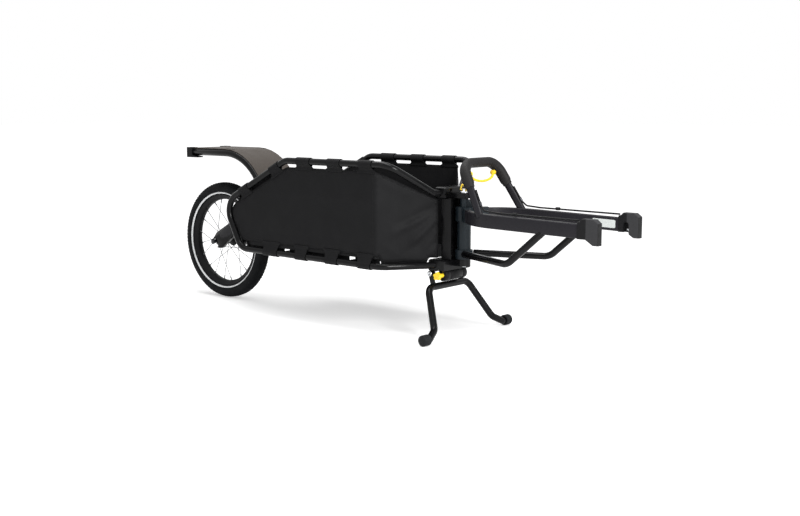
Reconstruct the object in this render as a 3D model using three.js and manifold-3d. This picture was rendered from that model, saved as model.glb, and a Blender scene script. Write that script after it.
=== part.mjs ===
// Single wheel touring trailer: a cargo frame with a fabric sling on one sprung rear wheel,
// a two-legged kickstand under its head, and a steering yoke whose two hitch blocks drop onto
// a bicycle's rear axle. Millimetres, +X forward to the bicycle, +Y left, +Z up.
// A station is a distance measured forward from the wheel axle. The origin is on the ground,
// under the middle of the whole trailer.

import * as THREE from 'three';
import { mergeVertices } from 'three/addons/utils/BufferGeometryUtils.js';
import Module from 'manifold-3d';

const wasm = await Module();
wasm.setup();

// Clearances and finish of the facets
const seatGap = 0.3;
const runningGap = 0.4;
const socketGap = 0.5;
const cutOverrun = 4;
const mergeTolerance = 1e-3;
const bendSteps = 3;
const tubeSides = 10;
const boreSides = 6;
const slimSides = 8;
const eyeSteps = 8;
const middleSides = 12;
const wideSides = 20;
const fineRadius = 5;
const wideRadius = 12.5;

// Overall stations
const headStation = 1021;
const noseStation = 1526;

// Wheel
const tyreDiameter = 400;
const tyreWidth = 47;
const tyreBeadRadius = 152.5;
const tyreSteps = 36;
const stripeThickness = 0.9;
const rimInnerRadius = 141;
const rimFlangeRadius = 158;
const rimWidth = 31;
const rimWellHalf = 8;
const rimWall = 4.5;
const innerTubeRadius = 16.5;
const innerTubeWall = 1.3;
const innerTubeCentreRadius = 175;
const valveRadius = 3;
const valveBore = 1.2;
const valveLength = 46;
const spokesPerSide = 10;
const spokeRadius = 1;
const spokeSides = 4;
const spokeRimHalf = 3;
const spokeLead = THREE.MathUtils.degToRad(24);
const hubBodyRadius = 17;
const hubFlangeRadius = 23;
const hubFlangeHalf = 28;
const hubFlangeThickness = 4;
const hubHalfLength = 37;
const bearingOuterRadius = 13;
const bearingWidth = 8;
const spokeRingThickness = 1.4;
const spokeRingRadius = 21.5;
const spokeRingBand = 4;

// Axle
const axleRadius = 6;
const axleShoulderRadius = 9;
const axleNutRadius = 10;
const axleNutLength = 6;
const axleTip = 1.5;
const hexSides = 6;

// Swing arm
const pivotStation = 236;
const pivotHeight = 330;
const armInnerHalf = 44;
const armThickness = 16;
const armHalfDepth = 23;
const armCentreStation = 83;
const armCentreRise = 44;
const dropoutNose = 13;
const dropoutDrop = 21;
const dropoutBrowStation = 15;
const dropoutChinStation = 9;
const dropoutToeStation = 36;
const dropoutHeelStation = 60;
const dropoutArchStation = 92;
const armEyeRadius = 27;
const humpStation = 172;
const humpRise = 148;
const humpHalfLength = 20;
const humpFoot = 12;
const humpTop = 12;
const barrelRadius = 19;
const barrelBore = 14;
const barrelOverhang = 4;
const bushRadius = 13.7;
const bushLength = 24;
const bushFlangeRadius = 18;
const bushFlangeThickness = 2;
const bridgeRadius = 11;
const cupRadius = 24;
const cupThickness = 4;
const spigotRadius = 12;
const spigotLength = 11;
const springCoilRadius = 17;
const springWireRadius = 3;
const springCurls = 5;
const springStepsPerCurl = 8;
const springSides = 5;

// Side hoops
const hoopHalfTrack = 195;
const hoopTubeRadius = 10;
const hoopTubeWall = 2;
const topRailHeight = 497;
const bottomRailRearHeight = 213;
const bottomRailFrontHeight = 206;
const topRailFrontStation = 900;
const topRailRearStation = 490;
const knuckleStation = 213.5;
const knuckleHeight = 353.5;
const lowerRearStation = 287;
const lowerFrontStation = 870;
const upperNeckStation = 960;
const upperNeckHalf = 64;
const hoopUpperEndStation = 973;
const hoopUpperEndHalf = 38;
const hoopUpperEndHeight = 414;
const hoopLowerEndStation = 972;
const hoopLowerEndHalf = 45;
const hoopLowerEndDrop = 1;
const topFrontBend = 50;
const topRearBend = 58;
const knuckleBend = 60;
const lowerRearBend = 45;
const lowerFrontBend = 50;
const neckBend = 24;

// Cross members
const floorTubeFrontStation = 750;
const floorTubeRearStation = 480;
const floorTubeRadius = 9;
const rearTubeAhead = 34;
const pivotTubeRadius = 12;
const bracketHalfWidth = 24;
const bracketThickness = 6;
const bracketRise = 63.177;
const bracketRearOverhang = 24;
const bracketElbowOverhang = 26;
const bracketFootRise = 16;

// Fender
const fenderHalfTrack = 75;
const fenderTubeRadius = 11.5;
const fenderTubeWall = 1.5;
const fenderRise = 122.177;
const fenderTubeRearStation = -86;
const fenderTubeElbowStation = 178;
const fenderTubeBend = 185;
const fenderBendSteps = 6;
const fenderPlateHalf = 80;
const fenderPlateThickness = 2.5;
const fenderPlateRearStation = -70;
const fenderPlateFrontGap = 22;
const fenderSlotLength = 66;
const fenderSlotWidth = 8;
const fenderSlotInset = 7;
const fenderSlotShares = [0.153, 0.645];
const tailLength = 26;
const tailLipLength = 54;
const tailLipHeight = 7;
const tailHeight = 34;
const tailHalfWidth = 14.5;
const tailRearStation = -98;
const tailRise = 15.5;
const tailBarDepth = 16;
const tailBarHeight = 18;
const tailEdge = 3;

// Sling
const fabricThickness = 2.4;
const slingCreaseStation = 850;
const slingFrontStation = 963;
const slingFrontHalf = 48;
const slingTopInset = 19;
const slingSlantInset = 20;
const slingRearInset = 14.5;
const slingBottomInset = 27;
const slingFrontTopHeight = 394;
const slingFrontRise = 20;
const slingFloorGap = 0.6;
const slingUpstand = 24;
const slingRearFloorStation = 330;
const slingRearKneeStation = 306;
const slingRearKneeRise = 16;
const slingRearWallStation = 277;
const slingRearWallLowHeight = 300;
const slingRearWallTopHeight = 350;
const slingHemHalf = 150;
const slingHemGapHalf = 36;
const sleeveClear = 0.4;
const sleeveWall = 1.6;
const topTabShares = [[0.129, 0.266], [0.437, 0.561], [0.741, 0.861]];
const bottomTabShares = [[0.185, 0.288], [0.422, 0.501], [0.636, 0.72], [0.859, 0.943]];
const slantTabShares = [[0.28, 0.41], [0.776, 0.906]];

// Head of the frame
const upperBlockRearStation = 955;
const upperBlockFrontStation = 992;
const upperBlockHalf = 50;
const upperBlockBottom = 398;
const upperBlockTop = 431;
const upperBlockEdge = 3;
const grooveDepth = 4;
const grooveHeight = 4.5;
const grooveShares = [0.379, 0.742];
const lugRadius = 20;
const upperLugBottom = 399.3;
const upperLugTop = 413;
const lowerBlockRearStation = 942;
const lowerBlockFrontStation = 998;
const lowerBlockHalf = 65;
const lowerBlockDrop = 18;
const lowerBlockHeight = 34;
const lowerLugDrop = 3;
const postRearStation = 969;
const postFrontStation = 1003;
const postHalf = 40;
const postWall = 5;
const lockBarrelSetback = 17;
const lockBarrelDrop = 30;
const lockBarrelRadius = 17;
const lockBarrelHalf = 50;
const lockBarrelEdge = 3;

// Kingpin
const kingpinRadius = 8;
const kingpinTail = 4;
const kingpinHeadRadius = 12;
const kingpinHeadThickness = 5;
const kingpinBossRadius = 6;
const kingpinBossHeight = 8;
const loopRadius = 2.2;
const loopRise = 17;
const loopRearReach = 14;
const loopFrontReach = 16;
const loopApexShift = 8;
const loopBend = 2.4;
const loopSocket = 3;

// Kickstand
const kickPivotInset = 11;
const kickPivotDrop = 25;
const kickTubeRadius = 10.5;
const kickTubeWall = 1.5;
const kickCrossStation = 964;
const kickCrossDrop = 38;
const kickCornerHalf = 93;
const kickKneeStation = 1024;
const kickKneeHalf = 141;
const kickKneeHeight = 34;
const kickAnkleStation = 1036;
const kickAnkleHalf = 178;
const kickTopBend = 30;
const kickKneeBend = 30;
const kickAnkleBend = 12;
const footRadius = 16;
const footInset = 8;
const footLength = 29;
const footCapThickness = 12;
const footEdge = 3;
const footCrown = 4;
const earThickness = 5;
const earHalfWidth = 8;
const cheekThickness = 6;
const cheekRadius = 11;
const kickBoltRadius = 5;
const kickBoltHeadRadius = 8;
const kickBoltHeadThickness = 6;
const kickBoltTail = 4;

// Kickstand lock knob
const knobLobeRadius = 4.5;
const knobLobes = 5;
const knobPitchRadius = 8;
const knobBodyRadius = 10;
const knobLength = 9;
const knobNeckRadius = 7;
const knobNeckLength = 18;
const knobStudRadius = 4;
const knobStudLength = 14;

// Yoke
const yokeTubeRadius = 20;
const yokeTubeBore = 15.7;
const yokeNeckRadius = 12;
const crownTop = 374;
const crownHeight = 40;
const crownRingRadius = 25;
const crownStubLength = 70;
const crownWebReach = 40;
const crownWebHalf = 38;
const crownFinHalf = 6;
const crownFinReach = 34;
const crownFinHeight = 22;
const yokeBushLength = 22;
const bushShoulderDrop = 22;
const collarRadius = 26;
const collarLift = 2;
const collarHeight = 26;
const yokeSplay = THREE.MathUtils.degToRad(45);
const yokeBendRadius = 150;
const yokeBendSteps = 8;
const yokeArmHalfTrack = 107.5;
const yokeArmWidth = 17;
const yokeArmHeight = 38;
const yokeArmDropShare = 0.0219;
const yokeArmDropReach = 77;
const yokeArmWall = 2.2;
const yokeArmEdge = 2.5;
const yokeArmEndReach = 456;
const braceRadius = 10;
const braceWall = 1.8;
const braceBendReach = 223;
const braceDip = 2;
const braceRootHalf = 16;
const braceTopReach = 334;
const braceTopHeight = 338;
const braceBend = 42;

// Handle
const handleTubeHalfDepth = 12;
const handleTubeHalfWidth = 8;
const handleTubeWall = 1.8;
const handleFootReach = 126;
const handleFootHalf = 104;
const handleFootDrop = 1;
const handleSink = 12;
const handleTopReach = 50;
const handleTopHalf = 79;
const handleRise = 132;
const handleBend = 46;
const gripHalfDepth = 17;
const gripHalfWidth = 13.5;
const gripEndShare = 0.5;

// Release bail and cables
const bailRiseShare = 0.7727;
const bailBack = 7;
const bailHubRadius = 7;
const bailHubHalf = 62;
const bailHubLength = 12;
const bailPinRadius = 2.5;
const bailPinReach = 18;
const bailWireRadius = 3.6;
const bailWireHalf = 56;
const bailSag = 22;
const bailSwing = 5;
const bailSteps = 8;
const cableRadius = 2.5;
const cableLegGap = 0.8;
const cableTopDrop = 4;
const cableTurnRise = 18;

// Hitch blocks
const blockHalfTrack = 107.5;
const blockHalfWidth = 10.5;
const blockLength = 62;
const blockTop = 378;
const blockNoseTop = 368;
const blockNoseSlope = 13;
const blockNeckTop = 370;
const blockNeckLength = 14;
const blockNoseBottom = 311;
const blockNoseSole = 16;
const blockHeelBottom = 325;
const blockHeelReach = 38;
const blockEdge = 1.5;
const pocketReach = 38;
const pocketHeight = 345;
const pocketRadius = 8.5;
const pocketDepth = 12;
const latchLength = 24;
const latchHeight = 7;
const latchDepth = 7;
const latchTopHeight = 335;
const latchInset = 3;
const latchBite = 7;
const latchTravel = 7.5;

// Derived places
const tyreRadius = tyreDiameter / 2;
const axlePlace = -(noseStation - tyreRadius) / 2;
const noseReach = noseStation - headStation;
const pivotRise = pivotHeight - tyreRadius;
const rearTubeStation = pivotStation + rearTubeAhead;
const hoopLowerEndHeight = bottomRailFrontHeight - hoopLowerEndDrop;
const slingFrontBottomHeight = bottomRailFrontHeight + slingFrontRise;
const lowerBlockBottom = bottomRailFrontHeight - lowerBlockDrop;
const lowerBlockTop = lowerBlockBottom + lowerBlockHeight;
const lowerLugBottom = bottomRailFrontHeight - lowerLugDrop;
const lockBarrelHeight = bottomRailFrontHeight - lockBarrelDrop;
const lockBarrelStation = lowerBlockFrontStation - lockBarrelSetback;
const kickPivotStation = lowerBlockRearStation + kickPivotInset;
const kickPivotHeight = bottomRailFrontHeight - kickPivotDrop;
const kickCrossHeight = kickPivotHeight - kickCrossDrop;
const footInnerHalf = kickAnkleHalf + footInset;
const footOuterHalf = footInnerHalf + footLength;
const kickTubeEndHalf = footOuterHalf - footCapThickness;
const collarBottom = lowerBlockTop + collarLift;
const collarTop = collarBottom + collarHeight;
const braceRootHeight = collarTop - braceRadius;
const braceBendHeight = braceRootHeight - braceDip;
const yokeArmBottom = crownTop - crownHeight;
const bushShoulderHeight = crownTop - bushShoulderDrop;
const handleFootHeight = yokeArmBottom + yokeArmHeight - handleFootDrop;
const handleTopHeight = handleFootHeight + handleRise;
const gripEndHeight = handleFootHeight + gripEndShare * handleRise;
const bailHeight = handleFootHeight + bailRiseShare * handleRise;

// A place between two values
function between(low, high, share) {
  return low + share * (high - low);
}

// Height of the hoops' slanted centre line at a station
function slantHeightAt(station) {
  const slope = (topRailHeight - knuckleHeight) / (topRailRearStation - knuckleStation);
  return knuckleHeight + (station - knuckleStation) * slope;
}

const rearTubeHeight = slantHeightAt(rearTubeStation);
const bracketTopHeight = rearTubeHeight + bracketRise;
const bracketUnderside = bracketTopHeight - bracketThickness;
const fenderTubeHeight = rearTubeHeight + fenderRise;
const tailTopHeight = fenderTubeHeight + tailRise;

// Finishes: colour, roughness and metalness of each kind of surface
const finishes = {
  blackFrame: { color: 0x151517, roughness: 0.32, metalness: 0.4 },
  graphite: { color: 0x2b2a2e, roughness: 0.45, metalness: 0.5 },
  blackPlastic: { color: 0x1a1a1b, roughness: 0.55, metalness: 0 },
  blockPlastic: { color: 0x2e2e30, roughness: 0.6, metalness: 0 },
  tyreRubber: { color: 0x1c1d1f, roughness: 0.85, metalness: 0 },
  tubeRubber: { color: 0x101010, roughness: 0.8, metalness: 0 },
  reflective: { color: 0xe9ebec, roughness: 0.4, metalness: 0 },
  rimBlack: { color: 0x121214, roughness: 0.4, metalness: 0.5 },
  spokeSteel: { color: 0x9a9c9f, roughness: 0.3, metalness: 1 },
  boltSteel: { color: 0xb9bbbe, roughness: 0.25, metalness: 1 },
  darkSteel: { color: 0x3b3c3f, roughness: 0.35, metalness: 0.9 },
  slingFabric: { color: 0x232324, roughness: 0.9, metalness: 0 },
  fenderPlastic: { color: 0x4a4541, roughness: 0.6, metalness: 0 },
  footRubber: { color: 0x1b1c1d, roughness: 0.9, metalness: 0 },
  gripFoam: { color: 0x2c2a2b, roughness: 0.85, metalness: 0 },
  yellow: { color: 0xecd032, roughness: 0.45, metalness: 0 },
  cableBlack: { color: 0x0f0f10, roughness: 0.5, metalness: 0 },
  bushBronze: { color: 0x9c7b45, roughness: 0.4, metalness: 0.8 },
};

// Turns a geometry into a closed solid with shared corners
function solidOf(geometry) {
  const bare = new THREE.BufferGeometry();
  bare.setAttribute('position', geometry.getAttribute('position').clone());
  if (geometry.index) bare.setIndex(geometry.index.clone());
  const merged = mergeVertices(bare, mergeTolerance);
  const corners = merged.index.array;
  const kept = [];
  for (let i = 0; i < corners.length; i += 3) {
    const [a, b, c] = [corners[i], corners[i + 1], corners[i + 2]];
    if (a !== b && b !== c && c !== a) kept.push(a, b, c);
  }
  const vertProperties = new Float32Array(merged.getAttribute('position').array);
  const triVerts = new Uint32Array(kept);
  return new wasm.Manifold(new wasm.Mesh({ numProp: 3, vertProperties, triVerts }));
}

// Turns a solid back into a geometry
function geometryOf(solid) {
  const mesh = solid.getMesh();
  const geometry = new THREE.BufferGeometry();
  geometry.setAttribute('position', new THREE.BufferAttribute(Float32Array.from(mesh.vertProperties), 3));
  geometry.setIndex(Array.from(mesh.triVerts));
  return geometry;
}

function join(...parts) {
  return geometryOf(parts.map(solidOf).reduce((whole, part) => whole.add(part)));
}

function cut(base, ...tools) {
  return geometryOf(tools.map(solidOf).reduce((whole, tool) => whole.subtract(tool), solidOf(base)));
}

function common(a, b) {
  return geometryOf(solidOf(a).intersect(solidOf(b)));
}

// Mirrors a right-hand geometry to the left, keeping its faces outward
function mirrored(geometry) {
  const copy = geometry.clone().applyMatrix4(new THREE.Matrix4().makeScale(1, -1, 1));
  const order = copy.index ? Array.from(copy.index.array) : [...copy.getAttribute('position').array.keys()];
  const count = copy.index ? order.length : copy.getAttribute('position').count;
  const flipped = [];
  for (let i = 0; i < count; i += 3) flipped.push(order[i], order[i + 2], order[i + 1]);
  copy.setIndex(flipped);
  return copy;
}

// A path through chosen points, so that straight runs take one step and bends take several
class Route extends THREE.Curve {
  constructor(points) {
    super();
    this.points = points;
  }

  getPoint(share) {
    const place = share * (this.points.length - 1);
    const index = Math.min(Math.floor(place + 1e-9), this.points.length - 2);
    return this.points[index].clone().lerp(this.points[index + 1], place - index);
  }

  getPointAt(share) {
    return this.getPoint(share);
  }

  getTangentAt(share) {
    const last = this.points.length - 1;
    const index = Math.round(share * last);
    const ahead = new THREE.Vector3();
    const behind = new THREE.Vector3();
    if (index < last) ahead.subVectors(this.points[index + 1], this.points[index]).normalize();
    if (index > 0) behind.subVectors(this.points[index], this.points[index - 1]).normalize();
    return ahead.add(behind).normalize();
  }
}

// Rounds the corners of a line: each corner is [x, y, z, radius], the ends have no radius
function rounded(corners, { closed = false, steps = bendSteps } = {}) {
  const points = [];
  const count = corners.length;
  corners.forEach(([x, y, z, radius = 0], i) => {
    const here = new THREE.Vector3(x, y, z);
    const isEnd = !closed && (i === 0 || i === count - 1);
    if (isEnd || radius === 0) {
      points.push(here);
      return;
    }
    const back = new THREE.Vector3(...corners[(i + count - 1) % count].slice(0, 3)).sub(here).normalize();
    const onward = new THREE.Vector3(...corners[(i + 1) % count].slice(0, 3)).sub(here).normalize();
    const half = back.angleTo(onward) / 2;
    const centre = here.clone().addScaledVector(back.clone().add(onward).normalize(),
      radius / Math.sin(half));
    const from = back.multiplyScalar(radius / Math.tan(half)).add(here).sub(centre);
    const to = onward.multiplyScalar(radius / Math.tan(half)).add(here).sub(centre);
    const sweep = from.angleTo(to);
    for (let step = 0; step <= steps; step += 1) {
      const share = step / steps;
      const a = Math.sin((1 - share) * sweep) / Math.sin(sweep);
      const b = Math.sin(share * sweep) / Math.sin(sweep);
      points.push(from.clone().multiplyScalar(a).addScaledVector(to, b).add(centre));
    }
  });
  return points;
}

// A regular polygon of points round a centre
function polygonPoints(radius, sides) {
  return Array.from({ length: sides }, (_, i) => {
    const turn = (i * 2 * Math.PI) / sides;
    return new THREE.Vector2(radius * Math.cos(turn), radius * Math.sin(turn));
  });
}

// Facets round a piece, by its radius
function sidesFor(radius) {
  if (radius < fineRadius) return slimSides;
  return radius < wideRadius ? middleSides : wideSides;
}

// A round tube along a line of points, hollow where it has a bore
function tubeAlong(points, radius, bore = 0, sides = tubeSides, insideSides = boreSides) {
  const section = new THREE.Shape(polygonPoints(radius, sides));
  if (bore > 0) section.holes.push(new THREE.Path(polygonPoints(bore, insideSides)));
  const steps = points.length - 1;
  return new THREE.ExtrudeGeometry(section,
    { steps, bevelEnabled: false, extrudePath: new Route(points) });
}

// A flattened tube along a line in one plane: its half width lies in that plane
function ovalAlong(points, halfWidth, halfDepth, bore = 0) {
  const oval = (width, depth) => polygonPoints(1,
    tubeSides).map(({ x, y }) => new THREE.Vector2(x * width, y * depth));
  const section = new THREE.Shape(oval(halfWidth, halfDepth));
  if (bore > 0) section.holes.push(new THREE.Path(oval(halfWidth - bore, halfDepth - bore)));
  const steps = points.length - 1;
  return new THREE.ExtrudeGeometry(section,
    { steps, bevelEnabled: false, extrudePath: new Route(points) });
}

function rod(from, to, radius, sides = sidesFor(radius)) {
  return tubeAlong([new THREE.Vector3(...from), new THREE.Vector3(...to)], radius, 0, sides);
}

// A vertical slab: a flat outline drawn in X and Z, thick along Y
function slabXZ(outline, yLow, yHigh, edge = 0) {
  const shape = new THREE.Shape(outline.map(([x, z]) => new THREE.Vector2(x, z)));
  const bevel = { bevelEnabled: edge > 0, bevelThickness: edge, bevelSize: edge, bevelOffset: -edge,
    bevelSegments: 1 };
  const slab = new THREE.ExtrudeGeometry(shape, { depth: yHigh - yLow - 2 * edge, ...bevel });
  return slab.rotateX(Math.PI / 2).translate(0, yHigh - edge, 0);
}

// A level slab: a flat outline drawn in X and Y, thick along Z
function slabXY(outline, zLow, zHigh, edge = 0) {
  const shape = new THREE.Shape(outline.map(([x, y]) => new THREE.Vector2(x, y)));
  const bevel = { bevelEnabled: edge > 0, bevelThickness: edge, bevelSize: edge, bevelOffset: -edge,
    bevelSegments: 1 };
  const slab = new THREE.ExtrudeGeometry(shape, { depth: zHigh - zLow - 2 * edge, ...bevel });
  return slab.translate(0, 0, zLow + edge);
}

function block(xLow, xHigh, yLow, yHigh, zLow, zHigh, edge = 0) {
  return slabXY([[xLow, yLow], [xHigh, yLow], [xHigh, yHigh], [xLow, yHigh]], zLow, zHigh, edge);
}

// Turns a closed profile of [radius, place] round the Y axis
function turned(profile, steps = sidesFor(Math.max(...profile.map(([radius]) => radius)))) {
  const points = profile.map(([radius, place]) => new THREE.Vector2(radius, place));
  const onAxis = profile[0][0] === 0 && profile[profile.length - 1][0] === 0;
  if (!onAxis) points.push(points[0].clone());
  return facingOut(new THREE.LatheGeometry(points, steps));
}

// Flips a closed geometry whose faces point inward
function facingOut(geometry) {
  const place = geometry.getAttribute('position');
  const index = geometry.index.array;
  const [a, b, c] = [new THREE.Vector3(), new THREE.Vector3(), new THREE.Vector3()];
  let volume = 0;
  for (let i = 0; i < index.length; i += 3) {
    a.fromBufferAttribute(place, index[i]);
    b.fromBufferAttribute(place, index[i + 1]);
    c.fromBufferAttribute(place, index[i + 2]);
    volume += a.dot(b.cross(c));
  }
  if (volume > 0) return geometry;
  for (let i = 0; i < index.length; i += 3) [index[i], index[i + 1]] = [index[i + 1], index[i]];
  return geometry;
}

// A collar round the Y axis
function collar(inner, outer, low, high, steps = sidesFor(outer)) {
  return turned([[inner, low], [outer, low], [outer, high], [inner, high]], steps);
}

// Stands a piece that was turned round Y upright, so that its Y becomes Z
function upright(geometry) {
  return geometry.rotateX(Math.PI / 2);
}

// Offsets an open line in a plane to its left
function offsetLine(line, distance) {
  const normals = line.slice(1).map(([x, y], i) => {
    const [dx, dy] = [x - line[i][0], y - line[i][1]];
    const length = Math.hypot(dx, dy);
    return [-dy / length, dx / length];
  });
  return line.map(([x, y], i) => {
    const before = normals[Math.max(i - 1, 0)];
    const after = normals[Math.min(i, normals.length - 1)];
    const [mx, my] = [before[0] + after[0], before[1] + after[1]];
    const scale = (2 * distance) / (mx * mx + my * my);
    return [x + mx * scale, y + my * scale];
  });
}

// A thin strip between a line and its offset
function stripOutline(line, thickness) {
  return [...line, ...offsetLine(line, thickness).reverse()];
}

// Where two lines cross, each given by two points
function crossing([ax, ay], [bx, by], [cx, cy], [dx, dy]) {
  const run = (ax - bx) * (cy - dy) - (ay - by) * (cx - dx);
  const first = ax * by - ay * bx;
  const second = cx * dy - cy * dx;
  return [(first * (cx - dx) - (ax - bx) * second) / run, (first * (cy - dy) - (ay - by) * second) / run];
}

function piece(parent, name, geometry, finish) {
  const mesh = new THREE.Mesh(geometry, new THREE.MeshStandardMaterial(finishes[finish]));
  mesh.name = name;
  parent.add(mesh);
  return mesh;
}

function placed(parent, x, y, z) {
  const group = new THREE.Group();
  group.position.set(x, y, z);
  parent.add(group);
  return group;
}

// Tyre and rim profiles as shares: [share of the height from bead to tread, share of half the width]
const tyreOuterShares = [[0, 0.58], [0.13, 0.58], [0.33, 0.9], [0.6, 1], [0.86, 0.82], [1, 0.34]];
const tyreInnerShares = [[0.9, 0.32], [0.72, 0.78], [0.36, 0.75], [0.16, 0.44], [0, 0.44]];
const stripeSpanShares = [0.3, 0.85];

const tyreHeight = tyreRadius - tyreBeadRadius;
const tyreHalf = tyreWidth / 2;
const beadHalf = tyreHalf * tyreOuterShares[0][1];

function tyrePoint([heightShare, halfShare]) {
  return [tyreBeadRadius + heightShare * tyreHeight, halfShare * tyreHalf];
}

function tyreGeometry() {
  const outer = tyreOuterShares.map(tyrePoint);
  const inner = tyreInnerShares.map(tyrePoint);
  const flip = ([radius, half]) => [radius, -half];
  return turned([...outer, ...outer.map(flip).reverse(), ...inner.map(flip).reverse(), ...inner],
    tyreSteps);
}

// The reflective stripe is bonded on the straight part of the lower sidewall
function stripeGeometry() {
  const [low, high] = [tyrePoint(tyreOuterShares[1]), tyrePoint(tyreOuterShares[2])];
  const along = (share) => [low[0] + share * (high[0] - low[0]), low[1] + share * (high[1] - low[1])];
  const length = Math.hypot(high[0] - low[0], high[1] - low[1]);
  const [outR, outY] = [(low[1] - high[1]) / length, (high[0] - low[0]) / length];
  const lifted = ([radius, half], lift) => [radius + outR * lift, half + outY * lift];
  const [start, end] = stripeSpanShares.map(along);
  const top = seatGap + stripeThickness;
  return turned([lifted(start, seatGap), lifted(end, seatGap), lifted(end, top), lifted(start, top)],
    tyreSteps);
}

function rimGeometry() {
  const seat = tyreBeadRadius - seatGap;
  const inside = beadHalf + seatGap;
  const half = rimWidth / 2;
  const side = [
    [rimInnerRadius, rimWellHalf],
    [rimInnerRadius + rimWall, half],
    [rimFlangeRadius, half],
    [rimFlangeRadius, inside],
    [seat, inside],
    [rimInnerRadius + rimWall, rimWellHalf - seatGap],
  ];
  const flip = ([radius, place]) => [radius, -place];
  const ring = turned([...side, ...side.map(flip).reverse()], tyreSteps);
  const hole = rod([rimInnerRadius - cutOverrun, 0, 0], [seat + cutOverrun, 0, 0], valveRadius + seatGap);
  return cut(ring, hole);
}

// The inner tube holds the air, and its valve comes in through the rim, open down its middle
function innerTubeGeometry() {
  const ring = (radius, sides) => polygonPoints(radius,
    sides).map(({ x, y }) => [innerTubeCentreRadius + x, y]);
  const steps = tyreSteps - middleSides;
  const outer = turned(ring(innerTubeRadius, slimSides), steps);
  const air = turned(ring(innerTubeRadius - innerTubeWall, boreSides), steps);
  const foot = innerTubeCentreRadius - innerTubeRadius + innerTubeWall;
  const stem = rod([foot - valveLength, 0, 0], [foot, 0, 0], valveRadius);
  const bore = rod([foot - valveLength - cutOverrun, 0, 0], [foot + cutOverrun, 0, 0], valveBore);
  return cut(join(outer, stem), air, bore);
}

// Ten laced spokes and the ring of spoke heads at one flange
function spokesGeometry(firstTurn) {
  const ringLow = hubFlangeHalf + seatGap;
  const ringHigh = ringLow + spokeRingThickness;
  const [ringInner, ringOuter] = [spokeRingRadius - spokeRingBand / 2,
    spokeRingRadius + spokeRingBand / 2];
  const ring = collar(ringInner, ringOuter, ringLow, ringHigh, middleSides);
  const spokes = [];
  for (let i = 0; i < spokesPerSide; i += 1) {
    const atRim = firstTurn + (i * 2 * Math.PI) / spokesPerSide;
    const atHub = atRim + (i % 2 === 0 ? spokeLead : -spokeLead);
    const rimEnd = rimInnerRadius - seatGap - spokeRadius;
    const from = [spokeRingRadius * Math.cos(atHub), ringHigh, spokeRingRadius * Math.sin(atHub)];
    const to = [rimEnd * Math.cos(atRim), spokeRimHalf, rimEnd * Math.sin(atRim)];
    spokes.push(rod(from, to, spokeRadius, spokeSides));
  }
  return join(ring, ...spokes);
}

function hubGeometry() {
  const bore = bearingOuterRadius + seatGap;
  const waist = hubFlangeHalf - hubFlangeThickness;
  const side = [
    [hubBodyRadius, waist],
    [hubFlangeRadius, waist],
    [hubFlangeRadius, hubFlangeHalf],
    [hubBodyRadius, hubFlangeHalf],
    [hubBodyRadius, hubHalfLength],
    [bore, hubHalfLength],
  ];
  const flip = ([radius, place]) => [radius, -place];
  return turned([...side.map(flip).reverse(), ...side], middleSides);
}

function buildWheel(parent) {
  piece(parent, 'tyre', tyreGeometry(), 'tyreRubber');
  const stripe = stripeGeometry();
  piece(parent, 'tyre_stripe_left', stripe, 'reflective');
  piece(parent, 'tyre_stripe_right', mirrored(stripe), 'reflective');
  piece(parent, 'inner_tube', innerTubeGeometry(), 'tubeRubber');
  piece(parent, 'rim', rimGeometry(), 'rimBlack');
  const rimPitch = Math.PI / spokesPerSide;
  piece(parent, 'spokes_left', spokesGeometry(rimPitch / 2), 'spokeSteel');
  piece(parent, 'spokes_right', mirrored(spokesGeometry(-rimPitch / 2)), 'spokeSteel');
  piece(parent, 'hub_shell', hubGeometry(), 'rimBlack');
  const bearingLow = hubHalfLength - bearingWidth;
  const bearing = collar(axleRadius + seatGap, bearingOuterRadius, bearingLow, hubHalfLength,
    middleSides);
  piece(parent, 'hub_bearing_left', bearing, 'boltSteel');
  piece(parent, 'hub_bearing_right', mirrored(bearing), 'boltSteel');
}

// The axle: shoulders against the bearings, ends through both arms, a head on the left
const armOuterHalf = armInnerHalf + armThickness;
const nutLow = armOuterHalf + seatGap;
const nutHigh = nutLow + axleNutLength;

function axleGeometry() {
  const shoulderLow = hubHalfLength + seatGap;
  const shoulderHigh = armInnerHalf - seatGap;
  return turned([
    [0, -(nutHigh + axleTip)],
    [axleRadius, -(nutHigh + axleTip)],
    [axleRadius, -shoulderHigh],
    [axleShoulderRadius, -shoulderHigh],
    [axleShoulderRadius, -shoulderLow],
    [axleRadius, -shoulderLow],
    [axleRadius, shoulderLow],
    [axleShoulderRadius, shoulderLow],
    [axleShoulderRadius, shoulderHigh],
    [axleRadius, shoulderHigh],
    [axleRadius, nutLow],
    [axleNutRadius, nutLow],
    [axleNutRadius, nutHigh - axleTip],
    [axleNutRadius - axleTip, nutHigh],
    [0, nutHigh],
  ]);
}

function axleNutGeometry() {
  const nut = rod([0, nutLow, 0], [0, nutHigh, 0], axleNutRadius, hexSides);
  const thread = rod([0, nutLow - cutOverrun, 0], [0, nutHigh + cutOverrun, 0], axleRadius + seatGap);
  return mirrored(cut(nut, thread));
}

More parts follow.
